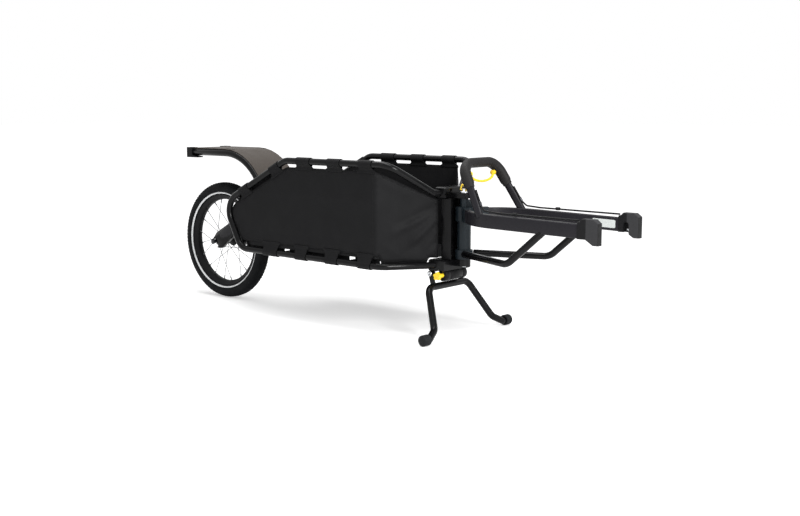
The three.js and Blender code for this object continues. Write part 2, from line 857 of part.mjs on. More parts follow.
// One swing arm, drawn from the wheel axle: dropout, depth, hump for the bridge, pivot eye
function swingArmOutline() {
  const angle = Math.atan2(pivotRise - armCentreRise, pivotStation - armCentreStation);
  const slope = Math.tan(angle);
  const edgeAt = (station, side) =>
    armCentreRise + (station - armCentreStation) * slope + (side * armHalfDepth) / Math.cos(angle);
  const eye = [];
  for (let step = 0; step <= eyeSteps; step += 1) {
    const turn = angle + Math.PI / 2 - (step * Math.PI) / eyeSteps;
    eye.push([pivotStation + armEyeRadius * Math.cos(turn), pivotRise + armEyeRadius * Math.sin(turn)]);
  }
  const humpRear = humpStation - humpHalfLength;
  const humpFront = humpStation + humpHalfLength;
  return [
    [-dropoutNose, 0],
    [dropoutBrowStation, edgeAt(dropoutBrowStation, 1)],
    [humpRear - humpFoot, edgeAt(humpRear - humpFoot, 1)],
    [humpRear, humpRise + humpTop / 2],
    [humpRear + humpTop / 2, humpRise + humpTop],
    [humpFront - humpTop / 2, humpRise + humpTop],
    [humpFront, humpRise + humpTop / 2],
    ...eye,
    [dropoutArchStation, edgeAt(dropoutArchStation, -1)],
    [dropoutHeelStation, 0],
    [dropoutToeStation, -dropoutDrop],
    [dropoutChinStation, -dropoutDrop],
  ];
}

function swingArmGeometry() {
  const bar = slabXZ(swingArmOutline(), armInnerHalf, armOuterHalf);
  const low = armInnerHalf - cutOverrun;
  const high = armOuterHalf + cutOverrun;
  const axleHole = rod([0, low, 0], [0, high, 0], axleRadius + seatGap);
  const eyeHole = rod([pivotStation, low, pivotRise], [pivotStation, high, pivotRise],
    barrelRadius + seatGap);
  return cut(bar, axleHole, eyeHole);
}

// The bridge joins both arms ahead of the tyre and carries the spring's lower cup and spigot
const cupTopRise = humpRise + bridgeRadius + cupThickness;

function bridgeGeometry() {
  const half = armInnerHalf - seatGap;
  const bar = rod([humpStation, -half, humpRise], [humpStation, half, humpRise], bridgeRadius);
  const cup = rod([humpStation, 0, humpRise], [humpStation, 0, cupTopRise], cupRadius);
  const spigot = rod([humpStation, 0, humpRise], [humpStation, 0, cupTopRise + spigotLength],
    spigotRadius);
  return join(bar, cup, spigot);
}

// The coil spring: one wire, straight ends square to the cup and to the bracket
function springGeometry(bottom, top) {
  const straight = 2 * springWireRadius;
  const low = bottom + seatGap + straight;
  const high = top - seatGap - straight;
  const count = springCurls * springStepsPerCurl;
  const at = (turn, height) =>
    new THREE.Vector3(springCoilRadius * Math.cos(turn), springCoilRadius * Math.sin(turn), height);
  const points = [at(0, low - straight), at(0, low)];
  for (let step = 1; step <= count; step += 1) {
    points.push(at((step * 2 * Math.PI) / springStepsPerCurl, low + (step * (high - low)) / count));
  }
  points.push(at(0, high + straight));
  let least = Infinity;
  points.forEach((a, i) => points.forEach((b, j) => {
    if (j - i >= springStepsPerCurl / 2) least = Math.min(least, a.distanceTo(b) - 2 * springWireRadius);
  }));
  console.log(`suspension spring: least gap to itself ${least.toFixed(2)} mm`);
  return tubeAlong(points, springWireRadius, 0, springSides);
}

function barrelGeometry() {
  const half = armOuterHalf + barrelOverhang;
  return collar(barrelBore, barrelRadius, -half, half);
}

// A flanged bush: its sleeve inside the barrel, its flange against the barrel's end
function pivotBushGeometry() {
  const face = armOuterHalf + barrelOverhang + seatGap;
  const bore = pivotTubeRadius + runningGap;
  return turned([
    [bore, face - bushLength],
    [bushRadius, face - bushLength],
    [bushRadius, face],
    [bushFlangeRadius, face],
    [bushFlangeRadius, face + bushFlangeThickness],
    [bore, face + bushFlangeThickness],
  ]);
}

function buildSwingArm(parent) {
  const fromAxle = placed(parent, -pivotStation, 0, -pivotRise);
  const arm = swingArmGeometry();
  piece(fromAxle, 'swing_arm_left', arm, 'blackFrame');
  piece(fromAxle, 'swing_arm_right', mirrored(arm), 'blackFrame');
  piece(fromAxle, 'swing_arm_bridge', bridgeGeometry(), 'blackFrame');
  piece(parent, 'swing_arm_barrel', barrelGeometry(), 'blackFrame');
  const bush = pivotBushGeometry();
  piece(parent, 'pivot_bush_left', bush, 'bushBronze');
  piece(parent, 'pivot_bush_right', mirrored(bush), 'bushBronze');
  const spring = piece(fromAxle, 'suspension_spring',
    springGeometry(cupTopRise, bracketUnderside - tyreRadius), 'darkSteel');
  spring.position.x = humpStation;
  piece(fromAxle, 'wheel_axle', axleGeometry(), 'boltSteel');
  piece(fromAxle, 'axle_nut', axleNutGeometry(), 'boltSteel');
  buildWheel(placed(fromAxle, 0, 0, 0));
}

// Corners of a side hoop's centre line, from the upper head bracket round to the lower one
function hoopCorners(endExtra) {
  const inward = (from, to, extra) => {
    const line = new THREE.Vector3(...to.slice(0, 3)).sub(new THREE.Vector3(...from.slice(0, 3)));
    return new THREE.Vector3(...to.slice(0, 3)).addScaledVector(line.normalize(), extra).toArray();
  };
  const upperNeck = [upperNeckStation, upperNeckHalf, hoopUpperEndHeight, neckBend];
  const upperEnd = [hoopUpperEndStation, hoopUpperEndHalf, hoopUpperEndHeight];
  const lowerFront = [lowerFrontStation, hoopHalfTrack, bottomRailFrontHeight, lowerFrontBend];
  const lowerEnd = [hoopLowerEndStation, hoopLowerEndHalf, hoopLowerEndHeight];
  return [
    inward(upperNeck, upperEnd, endExtra),
    upperNeck,
    [topRailFrontStation, hoopHalfTrack, topRailHeight, topFrontBend],
    [topRailRearStation, hoopHalfTrack, topRailHeight, topRearBend],
    [knuckleStation, hoopHalfTrack, knuckleHeight, knuckleBend],
    [lowerRearStation, hoopHalfTrack, bottomRailRearHeight, lowerRearBend],
    lowerFront,
    inward(lowerFront, lowerEnd, endExtra),
  ];
}

const hoopGeometry = tubeAlong(rounded(hoopCorners(0)), hoopTubeRadius, hoopTubeRadius - hoopTubeWall);
const hoopCutter = tubeAlong(rounded(hoopCorners(socketGap)), hoopTubeRadius + socketGap);
const hoopCutters = [hoopCutter, mirrored(hoopCutter)];

// Height of the bottom rails' centre line at a station
function bottomHeightAt(station) {
  const slope = (bottomRailFrontHeight - bottomRailRearHeight) / (lowerFrontStation - lowerRearStation);
  return bottomRailRearHeight + (station - lowerRearStation) * slope;
}

// A straight solid rod between the hoops, as a tube or as the bore in one
const crossHalfLength = hoopHalfTrack - hoopTubeRadius / 2;

function crossRod(station, height, radius, sides) {
  return rod([station, -crossHalfLength, height], [station, crossHalfLength, height], radius, sides);
}

// A straight tube from hoop to hoop, its ends saddled to the hoops
function crossTube(station, height, radius) {
  return cut(crossRod(station, height, radius),
    crossRod(station, height, radius - hoopTubeWall, boreSides),
    ...hoopCutters);
}

// The rear cross tube carries the suspension bracket with the spring's upper spigot
function rearTubeGeometry() {
  const elbow = humpStation + bracketElbowOverhang;
  const rear = humpStation - bracketRearOverhang;
  const outline = [
    [rearTubeStation, rearTubeHeight],
    [rearTubeStation + hoopTubeRadius / 2, rearTubeHeight + hoopTubeRadius / 2],
    [rearTubeStation - hoopTubeRadius / 2, rearTubeHeight + bracketFootRise],
    [elbow, bracketTopHeight],
    [rear, bracketTopHeight],
    [rear, bracketUnderside],
    [elbow - bracketThickness, bracketUnderside],
    [rearTubeStation - hoopTubeRadius, rearTubeHeight + hoopTubeRadius / 2],
  ];
  const bracket = slabXZ(outline, -bracketHalfWidth, bracketHalfWidth);
  const spigot = rod([humpStation, 0, bracketUnderside - spigotLength],
    [humpStation, 0, bracketTopHeight - bracketThickness / 2], spigotRadius);
  const bore = crossRod(rearTubeStation, rearTubeHeight, hoopTubeRadius - hoopTubeWall, boreSides);
  const whole = join(crossRod(rearTubeStation, rearTubeHeight, hoopTubeRadius), bracket, spigot);
  return cut(whole, bore, ...hoopCutters);
}

// Fender tubes: level at the rear, then bent down to the rear cross tube
function fenderRoute(rearStation) {
  return rounded([
    [rearStation, fenderHalfTrack, fenderTubeHeight],
    [fenderTubeElbowStation, fenderHalfTrack, fenderTubeHeight, fenderTubeBend],
    [rearTubeStation, fenderHalfTrack, rearTubeHeight],
  ], { steps: fenderBendSteps });
}

function fenderTubeGeometry() {
  const low = fenderHalfTrack - fenderTubeRadius - cutOverrun;
  const high = fenderHalfTrack + fenderTubeRadius + cutOverrun;
  const saddle = rod([rearTubeStation, low, rearTubeHeight], [rearTubeStation, high, rearTubeHeight],
    hoopTubeRadius + seatGap);
  const tube = tubeAlong(fenderRoute(fenderTubeRearStation), fenderTubeRadius,
    fenderTubeRadius - fenderTubeWall);
  return cut(tube, saddle);
}

const fenderUnderside = fenderTubeHeight + fenderTubeRadius + seatGap;

// The fender plate: a sheet that follows the tops of both tubes, with strap slots at its sides
function fenderPlateGeometry() {
  const centre = fenderRoute(fenderPlateRearStation).map(({ x, z }) => [x, z]);
  const [beforeLast, last] = centre.slice(-2);
  const length = Math.hypot(last[0] - beforeLast[0], last[1] - beforeLast[1]);
  const share = 1 - fenderPlateFrontGap / length;
  centre[centre.length - 1] = last.map((value, i) => beforeLast[i] + share * (value - beforeLast[i]));
  const underside = offsetLine(centre, fenderTubeRadius + seatGap);
  const sheet = slabXZ(stripOutline(underside, fenderPlateThickness), -fenderPlateHalf, fenderPlateHalf);
  const slots = fenderSlotShares.flatMap((slotShare) => [-1, 1].map((side) => {
    const station = between(fenderPlateRearStation, fenderTubeElbowStation, slotShare);
    const middle = side * (fenderPlateHalf - fenderSlotInset - fenderSlotWidth / 2);
    return block(station - fenderSlotLength / 2, station + fenderSlotLength / 2,
      middle - fenderSlotWidth / 2,
      middle + fenderSlotWidth / 2, fenderTubeHeight,
        fenderUnderside + fenderPlateThickness + cutOverrun);
  }));
  return cut(sheet, ...slots);
}

// The tail piece caps both fender tubes and joins them with a bar
function fenderTailGeometry() {
  const capFront = tailRearStation + tailLength;
  const capBottom = tailTopHeight - tailHeight;
  const cap = slabXZ([
    [tailRearStation, capBottom],
    [tailRearStation + tailLipLength, capBottom],
    [tailRearStation + tailLipLength, capBottom + tailEdge],
    [capFront, capBottom + tailLipHeight],
    [capFront, tailTopHeight],
    [tailRearStation, tailTopHeight],
  ], fenderHalfTrack - tailHalfWidth, fenderHalfTrack + tailHalfWidth, tailEdge / 2);
  const bar = block(tailRearStation + tailEdge, tailRearStation + tailEdge + tailBarDepth,
    -fenderHalfTrack, fenderHalfTrack,
    tailTopHeight - tailEdge - tailBarHeight, tailTopHeight - tailEdge);
  const socket = rod([fenderTubeRearStation - socketGap, fenderHalfTrack, fenderTubeHeight],
    [tailRearStation + tailLipLength + cutOverrun, fenderHalfTrack, fenderTubeHeight],
      fenderTubeRadius + socketGap);
  const solidCap = facingOut(solidGeometry(cap));
  return cut(join(solidCap, mirrored(solidCap), bar), socket, mirrored(socket));
}

// Sling outline in plan, on its outer face: along the rail, then inward to the head
const slingOuterHalf = hoopHalfTrack + fabricThickness / 2;
const slingPlan = [
  [slingCreaseStation - cutOverrun, slingOuterHalf],
  [slingCreaseStation, slingOuterHalf],
  [slingFrontStation, slingFrontHalf],
  [slingFrontStation, seatGap / 2],
];

// The side panel's outline, inset from the hoop's centre line by a margin for each edge
function sidePanelOutline() {
  const insetEdge = ([ax, az], [bx, bz], inset) => offsetLine([[ax, az], [bx, bz]], inset);
  const top = insetEdge([topRailFrontStation, topRailHeight], [topRailRearStation, topRailHeight],
    slingTopInset);
  const slant = insetEdge([topRailRearStation, topRailHeight], [knuckleStation, knuckleHeight],
    slingSlantInset);
  const rear = insetEdge([knuckleStation, knuckleHeight], [lowerRearStation, bottomRailRearHeight],
    slingRearInset);
  const bottom = insetEdge([lowerRearStation, bottomRailRearHeight],
    [lowerFrontStation, bottomRailFrontHeight],
    slingBottomInset);
  const crease = [[slingCreaseStation, bottomRailFrontHeight], [slingCreaseStation, topRailHeight]];
  const corner = (a, b, radius) => [...crossing(...a, ...b), 0, radius];
  return rounded([
    corner(crease, top, 0),
    corner(top, slant, topRearBend - slingTopInset),
    corner(slant, rear, knuckleBend - slingRearInset),
    corner(rear, bottom, lowerRearBend - slingRearInset),
    corner(bottom, crease, 0),
  ], { closed: true }).map(({ x, y }) => [x, y]);
}

// Corner radii of a sleeve whose flat faces clear the tube inside it
const sleeveFlatShare = Math.cos(Math.PI / slimSides);
const sleeveInnerRadius = (hoopTubeRadius + sleeveClear) / sleeveFlatShare;
const sleeveOuterRadius = (hoopTubeRadius + sleeveClear + sleeveWall) / sleeveFlatShare;

// A tab: a neck from the panel's edge and a sleeve round the hoop's tube
function tabGeometry(from, to, towardsPanel) {
  const sleeve = rod([from[0], hoopHalfTrack, from[1]], [to[0], hoopHalfTrack, to[1]], sleeveOuterRadius,
    slimSides);
  const [dx, dz] = towardsPanel;
  const neck = slabXZ([
    [from[0], from[1]],
    [to[0], to[1]],
    [to[0] + dx, to[1] + dz],
    [from[0] + dx, from[1] + dz],
  ], hoopHalfTrack - fabricThickness / 2, slingOuterHalf);
  return [sleeve, facingOut(solidGeometry(neck))];
}

function solidGeometry(geometry) {
  const bare = new THREE.BufferGeometry();
  bare.setAttribute('position', geometry.getAttribute('position').clone());
  return mergeVertices(bare, mergeTolerance);
}

function sleeveBore(from, to) {
  const line = new THREE.Vector3(to[0] - from[0], 0,
    to[1] - from[1]).normalize().multiplyScalar(cutOverrun);
  return rod([from[0] - line.x, hoopHalfTrack, from[1] - line.z],
    [to[0] + line.x, hoopHalfTrack, to[1] + line.z],
    sleeveInnerRadius, slimSides);
}

function slingSideGeometry() {
  const panel = slabXZ(sidePanelOutline(), hoopHalfTrack - fabricThickness / 2, slingOuterHalf);
  const wall = slabXY(stripOutline(slingPlan, -fabricThickness), slingFrontBottomHeight,
    topRailHeight - slingTopInset);
  const above = slabXZ([
    [slingCreaseStation, topRailHeight - slingTopInset],
    [slingFrontStation, slingFrontTopHeight],
    [slingFrontStation + cutOverrun, slingFrontTopHeight],
    [slingFrontStation + cutOverrun, topRailHeight],
    [slingCreaseStation, topRailHeight],
  ], -cutOverrun, hoopHalfTrack + cutOverrun);
  const tabs = [];
  const bores = [];
  const addTab = (from, to, towardsPanel) => {
    tabs.push(...tabGeometry(from, to, towardsPanel));
    bores.push(sleeveBore(from, to));
  };
  const reach = slingTopInset + fabricThickness;
  const stationsOf = (shares, rear, front) =>
    shares.map((pair) => pair.map((share) => between(rear, front, share)));
  const topTabs = stationsOf(topTabShares, topRailRearStation, topRailFrontStation);
  const bottomTabs = stationsOf(bottomTabShares, lowerRearStation, lowerFrontStation);
  const slantTabs = stationsOf(slantTabShares, knuckleStation, topRailRearStation);
  topTabs.forEach(([low, high]) => addTab([low, topRailHeight], [high, topRailHeight], [0, -reach]));
  const lowReach = slingBottomInset + fabricThickness;
  bottomTabs.forEach(([low, high]) => addTab([low, bottomHeightAt(low)], [high, bottomHeightAt(high)],
    [0, lowReach]));
  const slantReach = slingSlantInset + fabricThickness;
  const slope = Math.atan2(topRailHeight - knuckleHeight, topRailRearStation - knuckleStation);
  slantTabs.forEach(([low, high]) => addTab([low, slantHeightAt(low)], [high, slantHeightAt(high)],
    [slantReach * Math.sin(slope), -slantReach * Math.cos(slope)]));
  return cut(join(panel, cut(wall, above), ...tabs), ...bores);
}

// The floor and rear wall: one strip with upstands at its sides and a hem round the rear tube
const railPeakHeight = Math.max(bottomRailRearHeight, bottomRailFrontHeight);
const slingFloorBottom = railPeakHeight + sleeveOuterRadius + slingFloorGap;

function slingFloorGeometry() {
  const half = hoopHalfTrack - fabricThickness / 2 - seatGap;
  const floorTop = slingFloorBottom + fabricThickness;
  const line = [
    [slingFrontStation + cutOverrun, slingFloorBottom],
    [slingRearFloorStation, slingFloorBottom],
    [slingRearKneeStation, slingFloorBottom + slingRearKneeRise],
    [slingRearWallStation, slingRearWallLowHeight],
    [slingRearWallStation, slingRearWallTopHeight],
    [rearTubeStation, rearTubeHeight - hoopTubeRadius],
  ];
  const strip = slabXZ(stripOutline(line, -fabricThickness), -half, half);
  const inner = offsetLine(slingPlan, -(fabricThickness + seatGap));
  const narrowHalf = hoopHalfTrack - hoopTubeRadius - socketGap;
  const rearPlan = rearTubeStation - sleeveOuterRadius;
  const leftPlan = [
    [rearPlan, narrowHalf],
    [slingRearKneeStation, narrowHalf],
    [slingRearFloorStation, half],
    ...inner.slice(1, -1),
  ];
  const plan = [...leftPlan, ...leftPlan.map(([x, y]) => [x, -y]).reverse()];
  const planBlock = facingOut(solidGeometry(slabXY(plan, slingFloorBottom - cutOverrun, topRailHeight)));
  const upstand = block(slingRearFloorStation, slingCreaseStation - cutOverrun, half - fabricThickness,
    half, slingFloorBottom,
    floorTop + slingUpstand);
  const hem = rod([rearTubeStation, slingHemGapHalf, rearTubeHeight],
    [rearTubeStation, slingHemHalf, rearTubeHeight],
    sleeveOuterRadius, slimSides);
  const hemBore = crossRod(rearTubeStation, rearTubeHeight, sleeveInnerRadius, slimSides);
  const fenderRoom = tubeAlong(fenderRoute(fenderTubeRearStation), fenderTubeRadius + socketGap);
  return cut(join(common(facingOut(solidGeometry(strip)), planBlock), upstand, mirrored(upstand), hem,
    mirrored(hem)),
    hemBore, fenderRoom, mirrored(fenderRoom));
}

// A lug: a round end about the kingpin, joined to a block behind it
function lugOutline(fromStation) {
  const points = [[fromStation, -lugRadius]];
  for (let step = 0; step <= eyeSteps; step += 1) {
    const turn = -Math.PI / 2 + (step * Math.PI) / eyeSteps;
    points.push([headStation + lugRadius * Math.cos(turn), lugRadius * Math.sin(turn)]);
  }
  points.push([fromStation, lugRadius]);
  return points;
}

function kingpinHole(low, high) {
  return rod([headStation, 0, low - cutOverrun], [headStation, 0, high + cutOverrun],
    kingpinRadius + runningGap);
}

function upperBracketGeometry() {
  const body = block(upperBlockRearStation, upperBlockFrontStation, -upperBlockHalf, upperBlockHalf,
    upperBlockBottom, upperBlockTop, upperBlockEdge);
  const lug = slabXY(lugOutline(upperBlockFrontStation - upperBlockEdge - cutOverrun), upperLugBottom,
    upperLugTop);
  const grooves = grooveShares.flatMap((share) => [-1, 1].map((side) => {
    const height = between(upperBlockBottom, upperBlockTop, share);
    const [inner, outer] = [side * lugRadius, side * (upperBlockHalf + cutOverrun)];
    return block(upperBlockFrontStation - grooveDepth, upperBlockFrontStation + cutOverrun,
      Math.min(inner, outer), Math.max(inner, outer), height - grooveHeight / 2,
        height + grooveHeight / 2);
  }));
  return cut(join(body, lug), ...grooves, ...hoopCutters, kingpinHole(upperLugBottom, upperLugTop));
}

// The head post: a channel, open to the front, between the two brackets
function headPostGeometry() {
  const outline = [
    [postRearStation, -postHalf],
    [postFrontStation, -postHalf],
    [postFrontStation, -(postHalf - postWall)],
    [postRearStation + postWall, -(postHalf - postWall)],
    [postRearStation + postWall, postHalf - postWall],
    [postFrontStation, postHalf - postWall],
    [postFrontStation, postHalf],
    [postRearStation, postHalf],
  ];
  return slabXY(outline, lowerBlockTop + seatGap, upperBlockBottom - seatGap);
}

function lowerBracketGeometry() {
  const body = block(lowerBlockRearStation, lowerBlockFrontStation, -lowerBlockHalf, lowerBlockHalf,
    lowerBlockBottom, lowerBlockTop, upperBlockEdge);
  const lug = slabXY(lugOutline(lowerBlockFrontStation - upperBlockEdge - cutOverrun), lowerLugBottom,
    lowerBlockTop);
  const cheekAt = (side) => rod([kickPivotStation, side * (lowerBlockHalf - cheekThickness),
    kickPivotHeight],
    [kickPivotStation, side * lowerBlockHalf, kickPivotHeight], cheekRadius);
  const boltHole = rod([kickPivotStation, -(lowerBlockHalf + cutOverrun), kickPivotHeight],
    [kickPivotStation, lowerBlockHalf + cutOverrun, kickPivotHeight], kickBoltRadius + seatGap);
  const cradle = rod([lockBarrelStation, -(lowerBlockHalf + cutOverrun), lockBarrelHeight],
    [lockBarrelStation, lowerBlockHalf + cutOverrun, lockBarrelHeight], lockBarrelRadius + seatGap);
  return cut(join(body, lug, cheekAt(-1), cheekAt(1)), boltHole, cradle, ...hoopCutters,
    kingpinHole(lowerLugBottom, lowerBlockTop));
}

// The lock barrel lies across under the lower bracket, with the knob's socket in its right end
function lockBarrelGeometry() {
  const low = lockBarrelHalf - lockBarrelEdge;
  const body = turned([
    [0, -lockBarrelHalf],
    [lockBarrelRadius - lockBarrelEdge, -lockBarrelHalf],
    [lockBarrelRadius, -low],
    [lockBarrelRadius, low],
    [lockBarrelRadius - lockBarrelEdge, lockBarrelHalf],
    [0, lockBarrelHalf],
  ]);
  const socket = rod([0, -(lockBarrelHalf + cutOverrun), 0],
    [0, -(lockBarrelHalf - knobStudLength - seatGap), 0],
    knobStudRadius + runningGap);
  return cut(body, socket).translate(lockBarrelStation, 0, lockBarrelHeight);
}

function kickBoltGeometry() {
  const headLow = lowerBlockHalf + seatGap + earThickness + seatGap;
  const headHigh = headLow + kickBoltHeadThickness;
  const tail = lowerBlockHalf - cheekThickness - kickBoltTail;
  return turned([
    [0, tail],
    [kickBoltRadius, tail],
    [kickBoltRadius, headLow],
    [kickBoltHeadRadius, headLow],
    [kickBoltHeadRadius, headHigh - kickBoltHeadThickness / 3],
    [kickBoltHeadRadius - kickBoltHeadThickness / 3, headHigh],
    [0, headHigh],
  ]).translate(kickPivotStation, 0, kickPivotHeight);
}

function buildFrame(parent) {
  piece(parent, 'side_hoop_left', hoopGeometry, 'blackFrame');
  piece(parent, 'side_hoop_right', mirrored(hoopGeometry), 'blackFrame');
  piece(parent, 'floor_cross_tube_front',
    crossTube(floorTubeFrontStation, bottomHeightAt(floorTubeFrontStation), floorTubeRadius),
      'blackFrame');
  piece(parent, 'floor_cross_tube_rear',
    crossTube(floorTubeRearStation, bottomHeightAt(floorTubeRearStation), floorTubeRadius), 'blackFrame');
  piece(parent, 'rear_cross_tube', rearTubeGeometry(), 'blackFrame');
  piece(parent, 'pivot_tube', crossTube(pivotStation, pivotHeight, pivotTubeRadius), 'darkSteel');
  const fenderTube = fenderTubeGeometry();
  piece(parent, 'fender_tube_left', fenderTube, 'blackFrame');
  piece(parent, 'fender_tube_right', mirrored(fenderTube), 'blackFrame');
  piece(parent, 'fender_plate', fenderPlateGeometry(), 'fenderPlastic');
  piece(parent, 'fender_tail', fenderTailGeometry(), 'blackPlastic');
  const side = slingSideGeometry();
  piece(parent, 'sling_side_left', side, 'slingFabric');
  piece(parent, 'sling_side_right', mirrored(side), 'slingFabric');
  piece(parent, 'sling_floor', slingFloorGeometry(), 'slingFabric');
  piece(parent, 'upper_head_bracket', upperBracketGeometry(), 'graphite');
  piece(parent, 'head_post', headPostGeometry(), 'graphite');
  piece(parent, 'lower_head_bracket', lowerBracketGeometry(), 'graphite');
  piece(parent, 'kickstand_lock_barrel', lockBarrelGeometry(), 'graphite');
  const bolt = kickBoltGeometry();
  piece(parent, 'kickstand_bolt_left', bolt, 'boltSteel');
  piece(parent, 'kickstand_bolt_right', mirrored(bolt), 'boltSteel');
}

// The kingpin: a shaft through both lugs and the yoke, a head on the upper lug, a boss with
// an eye for the pull loop
const kingpinHeadBottom = upperLugTop + seatGap;
const kingpinHeadTop = kingpinHeadBottom + kingpinHeadThickness;
const loopHeight = kingpinHeadTop + kingpinBossHeight / 2;

function loopRoute(inset) {
  return rounded([
    [-inset, 0, loopHeight],
    [-loopRearReach, 0, loopHeight, loopBend],
    [-loopApexShift, 0, loopHeight + loopRise, loopBend],
    [loopFrontReach, 0, loopHeight, loopBend],
    [inset, 0, loopHeight],
  ]);
}

function buildKingpin(parent) {
  const shaft = upright(turned([
    [0, -(lowerLugBottom - kingpinTail)],
    [kingpinRadius, -(lowerLugBottom - kingpinTail)],
    [kingpinRadius, -kingpinHeadBottom],
    [kingpinHeadRadius, -kingpinHeadBottom],
    [kingpinHeadRadius, -kingpinHeadTop],
    [kingpinBossRadius, -kingpinHeadTop],
    [kingpinBossRadius, -(kingpinHeadTop + kingpinBossHeight)],
    [0, -(kingpinHeadTop + kingpinBossHeight)],
  ])).rotateX(Math.PI);
  const eye = [-1, 1].map((side) => rod([side * (loopSocket - seatGap), 0, loopHeight],
    [side * (kingpinBossRadius + cutOverrun), 0, loopHeight], loopRadius + seatGap));
  piece(parent, 'kingpin', cut(shaft, ...eye), 'boltSteel');
  piece(parent, 'kingpin_loop', tubeAlong(loopRoute(loopSocket), loopRadius, 0, slimSides), 'yellow');
}

// The kickstand, drawn from its pivot: cross tube, two bent legs, two ears up to the bolts
function kickstandTubeGeometry() {
  const from = (station, half, height, radius) =>
    [station - kickPivotStation, half, height - kickPivotHeight, radius];
  const leg = [
    from(kickAnkleStation, kickTubeEndHalf, footRadius),
    from(kickAnkleStation, kickAnkleHalf, footRadius, kickAnkleBend),
    from(kickKneeStation, kickKneeHalf, kickKneeHeight, kickKneeBend),
    from(kickCrossStation, kickCornerHalf, kickCrossHeight, kickTopBend),
  ];
  const other = leg.map(([x, y, z, radius]) => [x, -y, z, radius]).reverse();
  const route = rounded([...leg, ...other]);
  const tube = tubeAlong(route, kickTubeRadius);
  const bore = tubeAlong(route, kickTubeRadius - kickTubeWall, 0, boreSides);
  const [crossX, crossZ] = [kickCrossStation - kickPivotStation, kickCrossHeight - kickPivotHeight];
  const length = Math.hypot(crossX, crossZ);
  const [sideX, sideZ] = [(-crossZ / length) * earHalfWidth, (crossX / length) * earHalfWidth];
  const earLow = lowerBlockHalf + seatGap;
  const bar = facingOut(solidGeometry(slabXZ([[sideX, sideZ], [-sideX, -sideZ],
    [crossX - sideX, crossZ - sideZ],
    [crossX + sideX, crossZ + sideZ]], earLow, earLow + earThickness)));
  const eye = rod([0, earLow, 0], [0, earLow + earThickness, 0], earHalfWidth);
  const hole = rod([0, earLow - cutOverrun, 0], [0, earLow + earThickness + cutOverrun, 0],
    kickBoltRadius + runningGap);
  const ear = cut(join(bar, eye), hole);
  return cut(join(tube, ear, mirrored(ear)), bore);
}

// A rubber foot: a cup on the leg's level end, crowned outside
function kickstandFootGeometry() {
  const bore = kickTubeRadius + seatGap;
  const bottom = kickTubeEndHalf + seatGap;
  return turned([
    [0, footOuterHalf],
    [footRadius - 2 * footCrown, footOuterHalf - footEdge / 2],
    [footRadius, footOuterHalf - 2 * footEdge],
    [footRadius, footInnerHalf + footEdge],
    [footRadius - footEdge, footInnerHalf],
    [bore, footInnerHalf],
    [bore, bottom],
    [0, bottom],
  ]).translate(kickAnkleStation - kickPivotStation, 0, footRadius - kickPivotHeight);
}

function buildKickstand(parent) {
  piece(parent, 'kickstand_tube', kickstandTubeGeometry(), 'blackFrame');
  const foot = kickstandFootGeometry();
  piece(parent, 'kickstand_foot_left', foot, 'footRubber');
  piece(parent, 'kickstand_foot_right', mirrored(foot), 'footRubber');
}

// The lock knob: a lobed head, a neck and a stud in the lock barrel's right end
function buildKnob(parent) {
  const neckLow = lockBarrelHalf + seatGap;
  const bodyLow = neckLow + knobNeckLength;
  const bodyHigh = bodyLow + knobLength;
  const body = rod([0, bodyLow, 0], [0, bodyHigh, 0], knobBodyRadius);
  const lobes = Array.from({ length: knobLobes }, (_, i) => {
    const turn = (i * 2 * Math.PI) / knobLobes;
    const [x, z] = [knobPitchRadius * Math.sin(turn), knobPitchRadius * Math.cos(turn)];
    return rod([x, bodyLow, z], [x, bodyHigh, z], knobLobeRadius, slimSides);
  });
  const neck = rod([0, neckLow, 0], [0, bodyLow + knobLength / 2, 0], knobNeckRadius);
  const stud = rod([0, lockBarrelHalf - knobStudLength, 0], [0, bodyLow, 0], knobStudRadius);
  piece(parent, 'kickstand_knob', mirrored(join(body, ...lobes, neck, stud)), 'yellow');
}

// The yoke's head: the steering tube with its neck, lower collar and crown with two stubs
const yokeTubeBottom = lowerBlockTop + seatGap;
const yokeNeckTop = upperLugBottom - seatGap;

function stubOutline(side, fromReach, toReach, halfWidth) {
  const [alongX, alongY] = [Math.cos(yokeSplay), side * Math.sin(yokeSplay)];
  const at = (reach, across) => [alongX * reach - alongY * across, alongY * reach + alongX * across];
  return [at(fromReach, -halfWidth), at(toReach, -halfWidth), at(toReach, halfWidth),
    at(fromReach, halfWidth)];
}

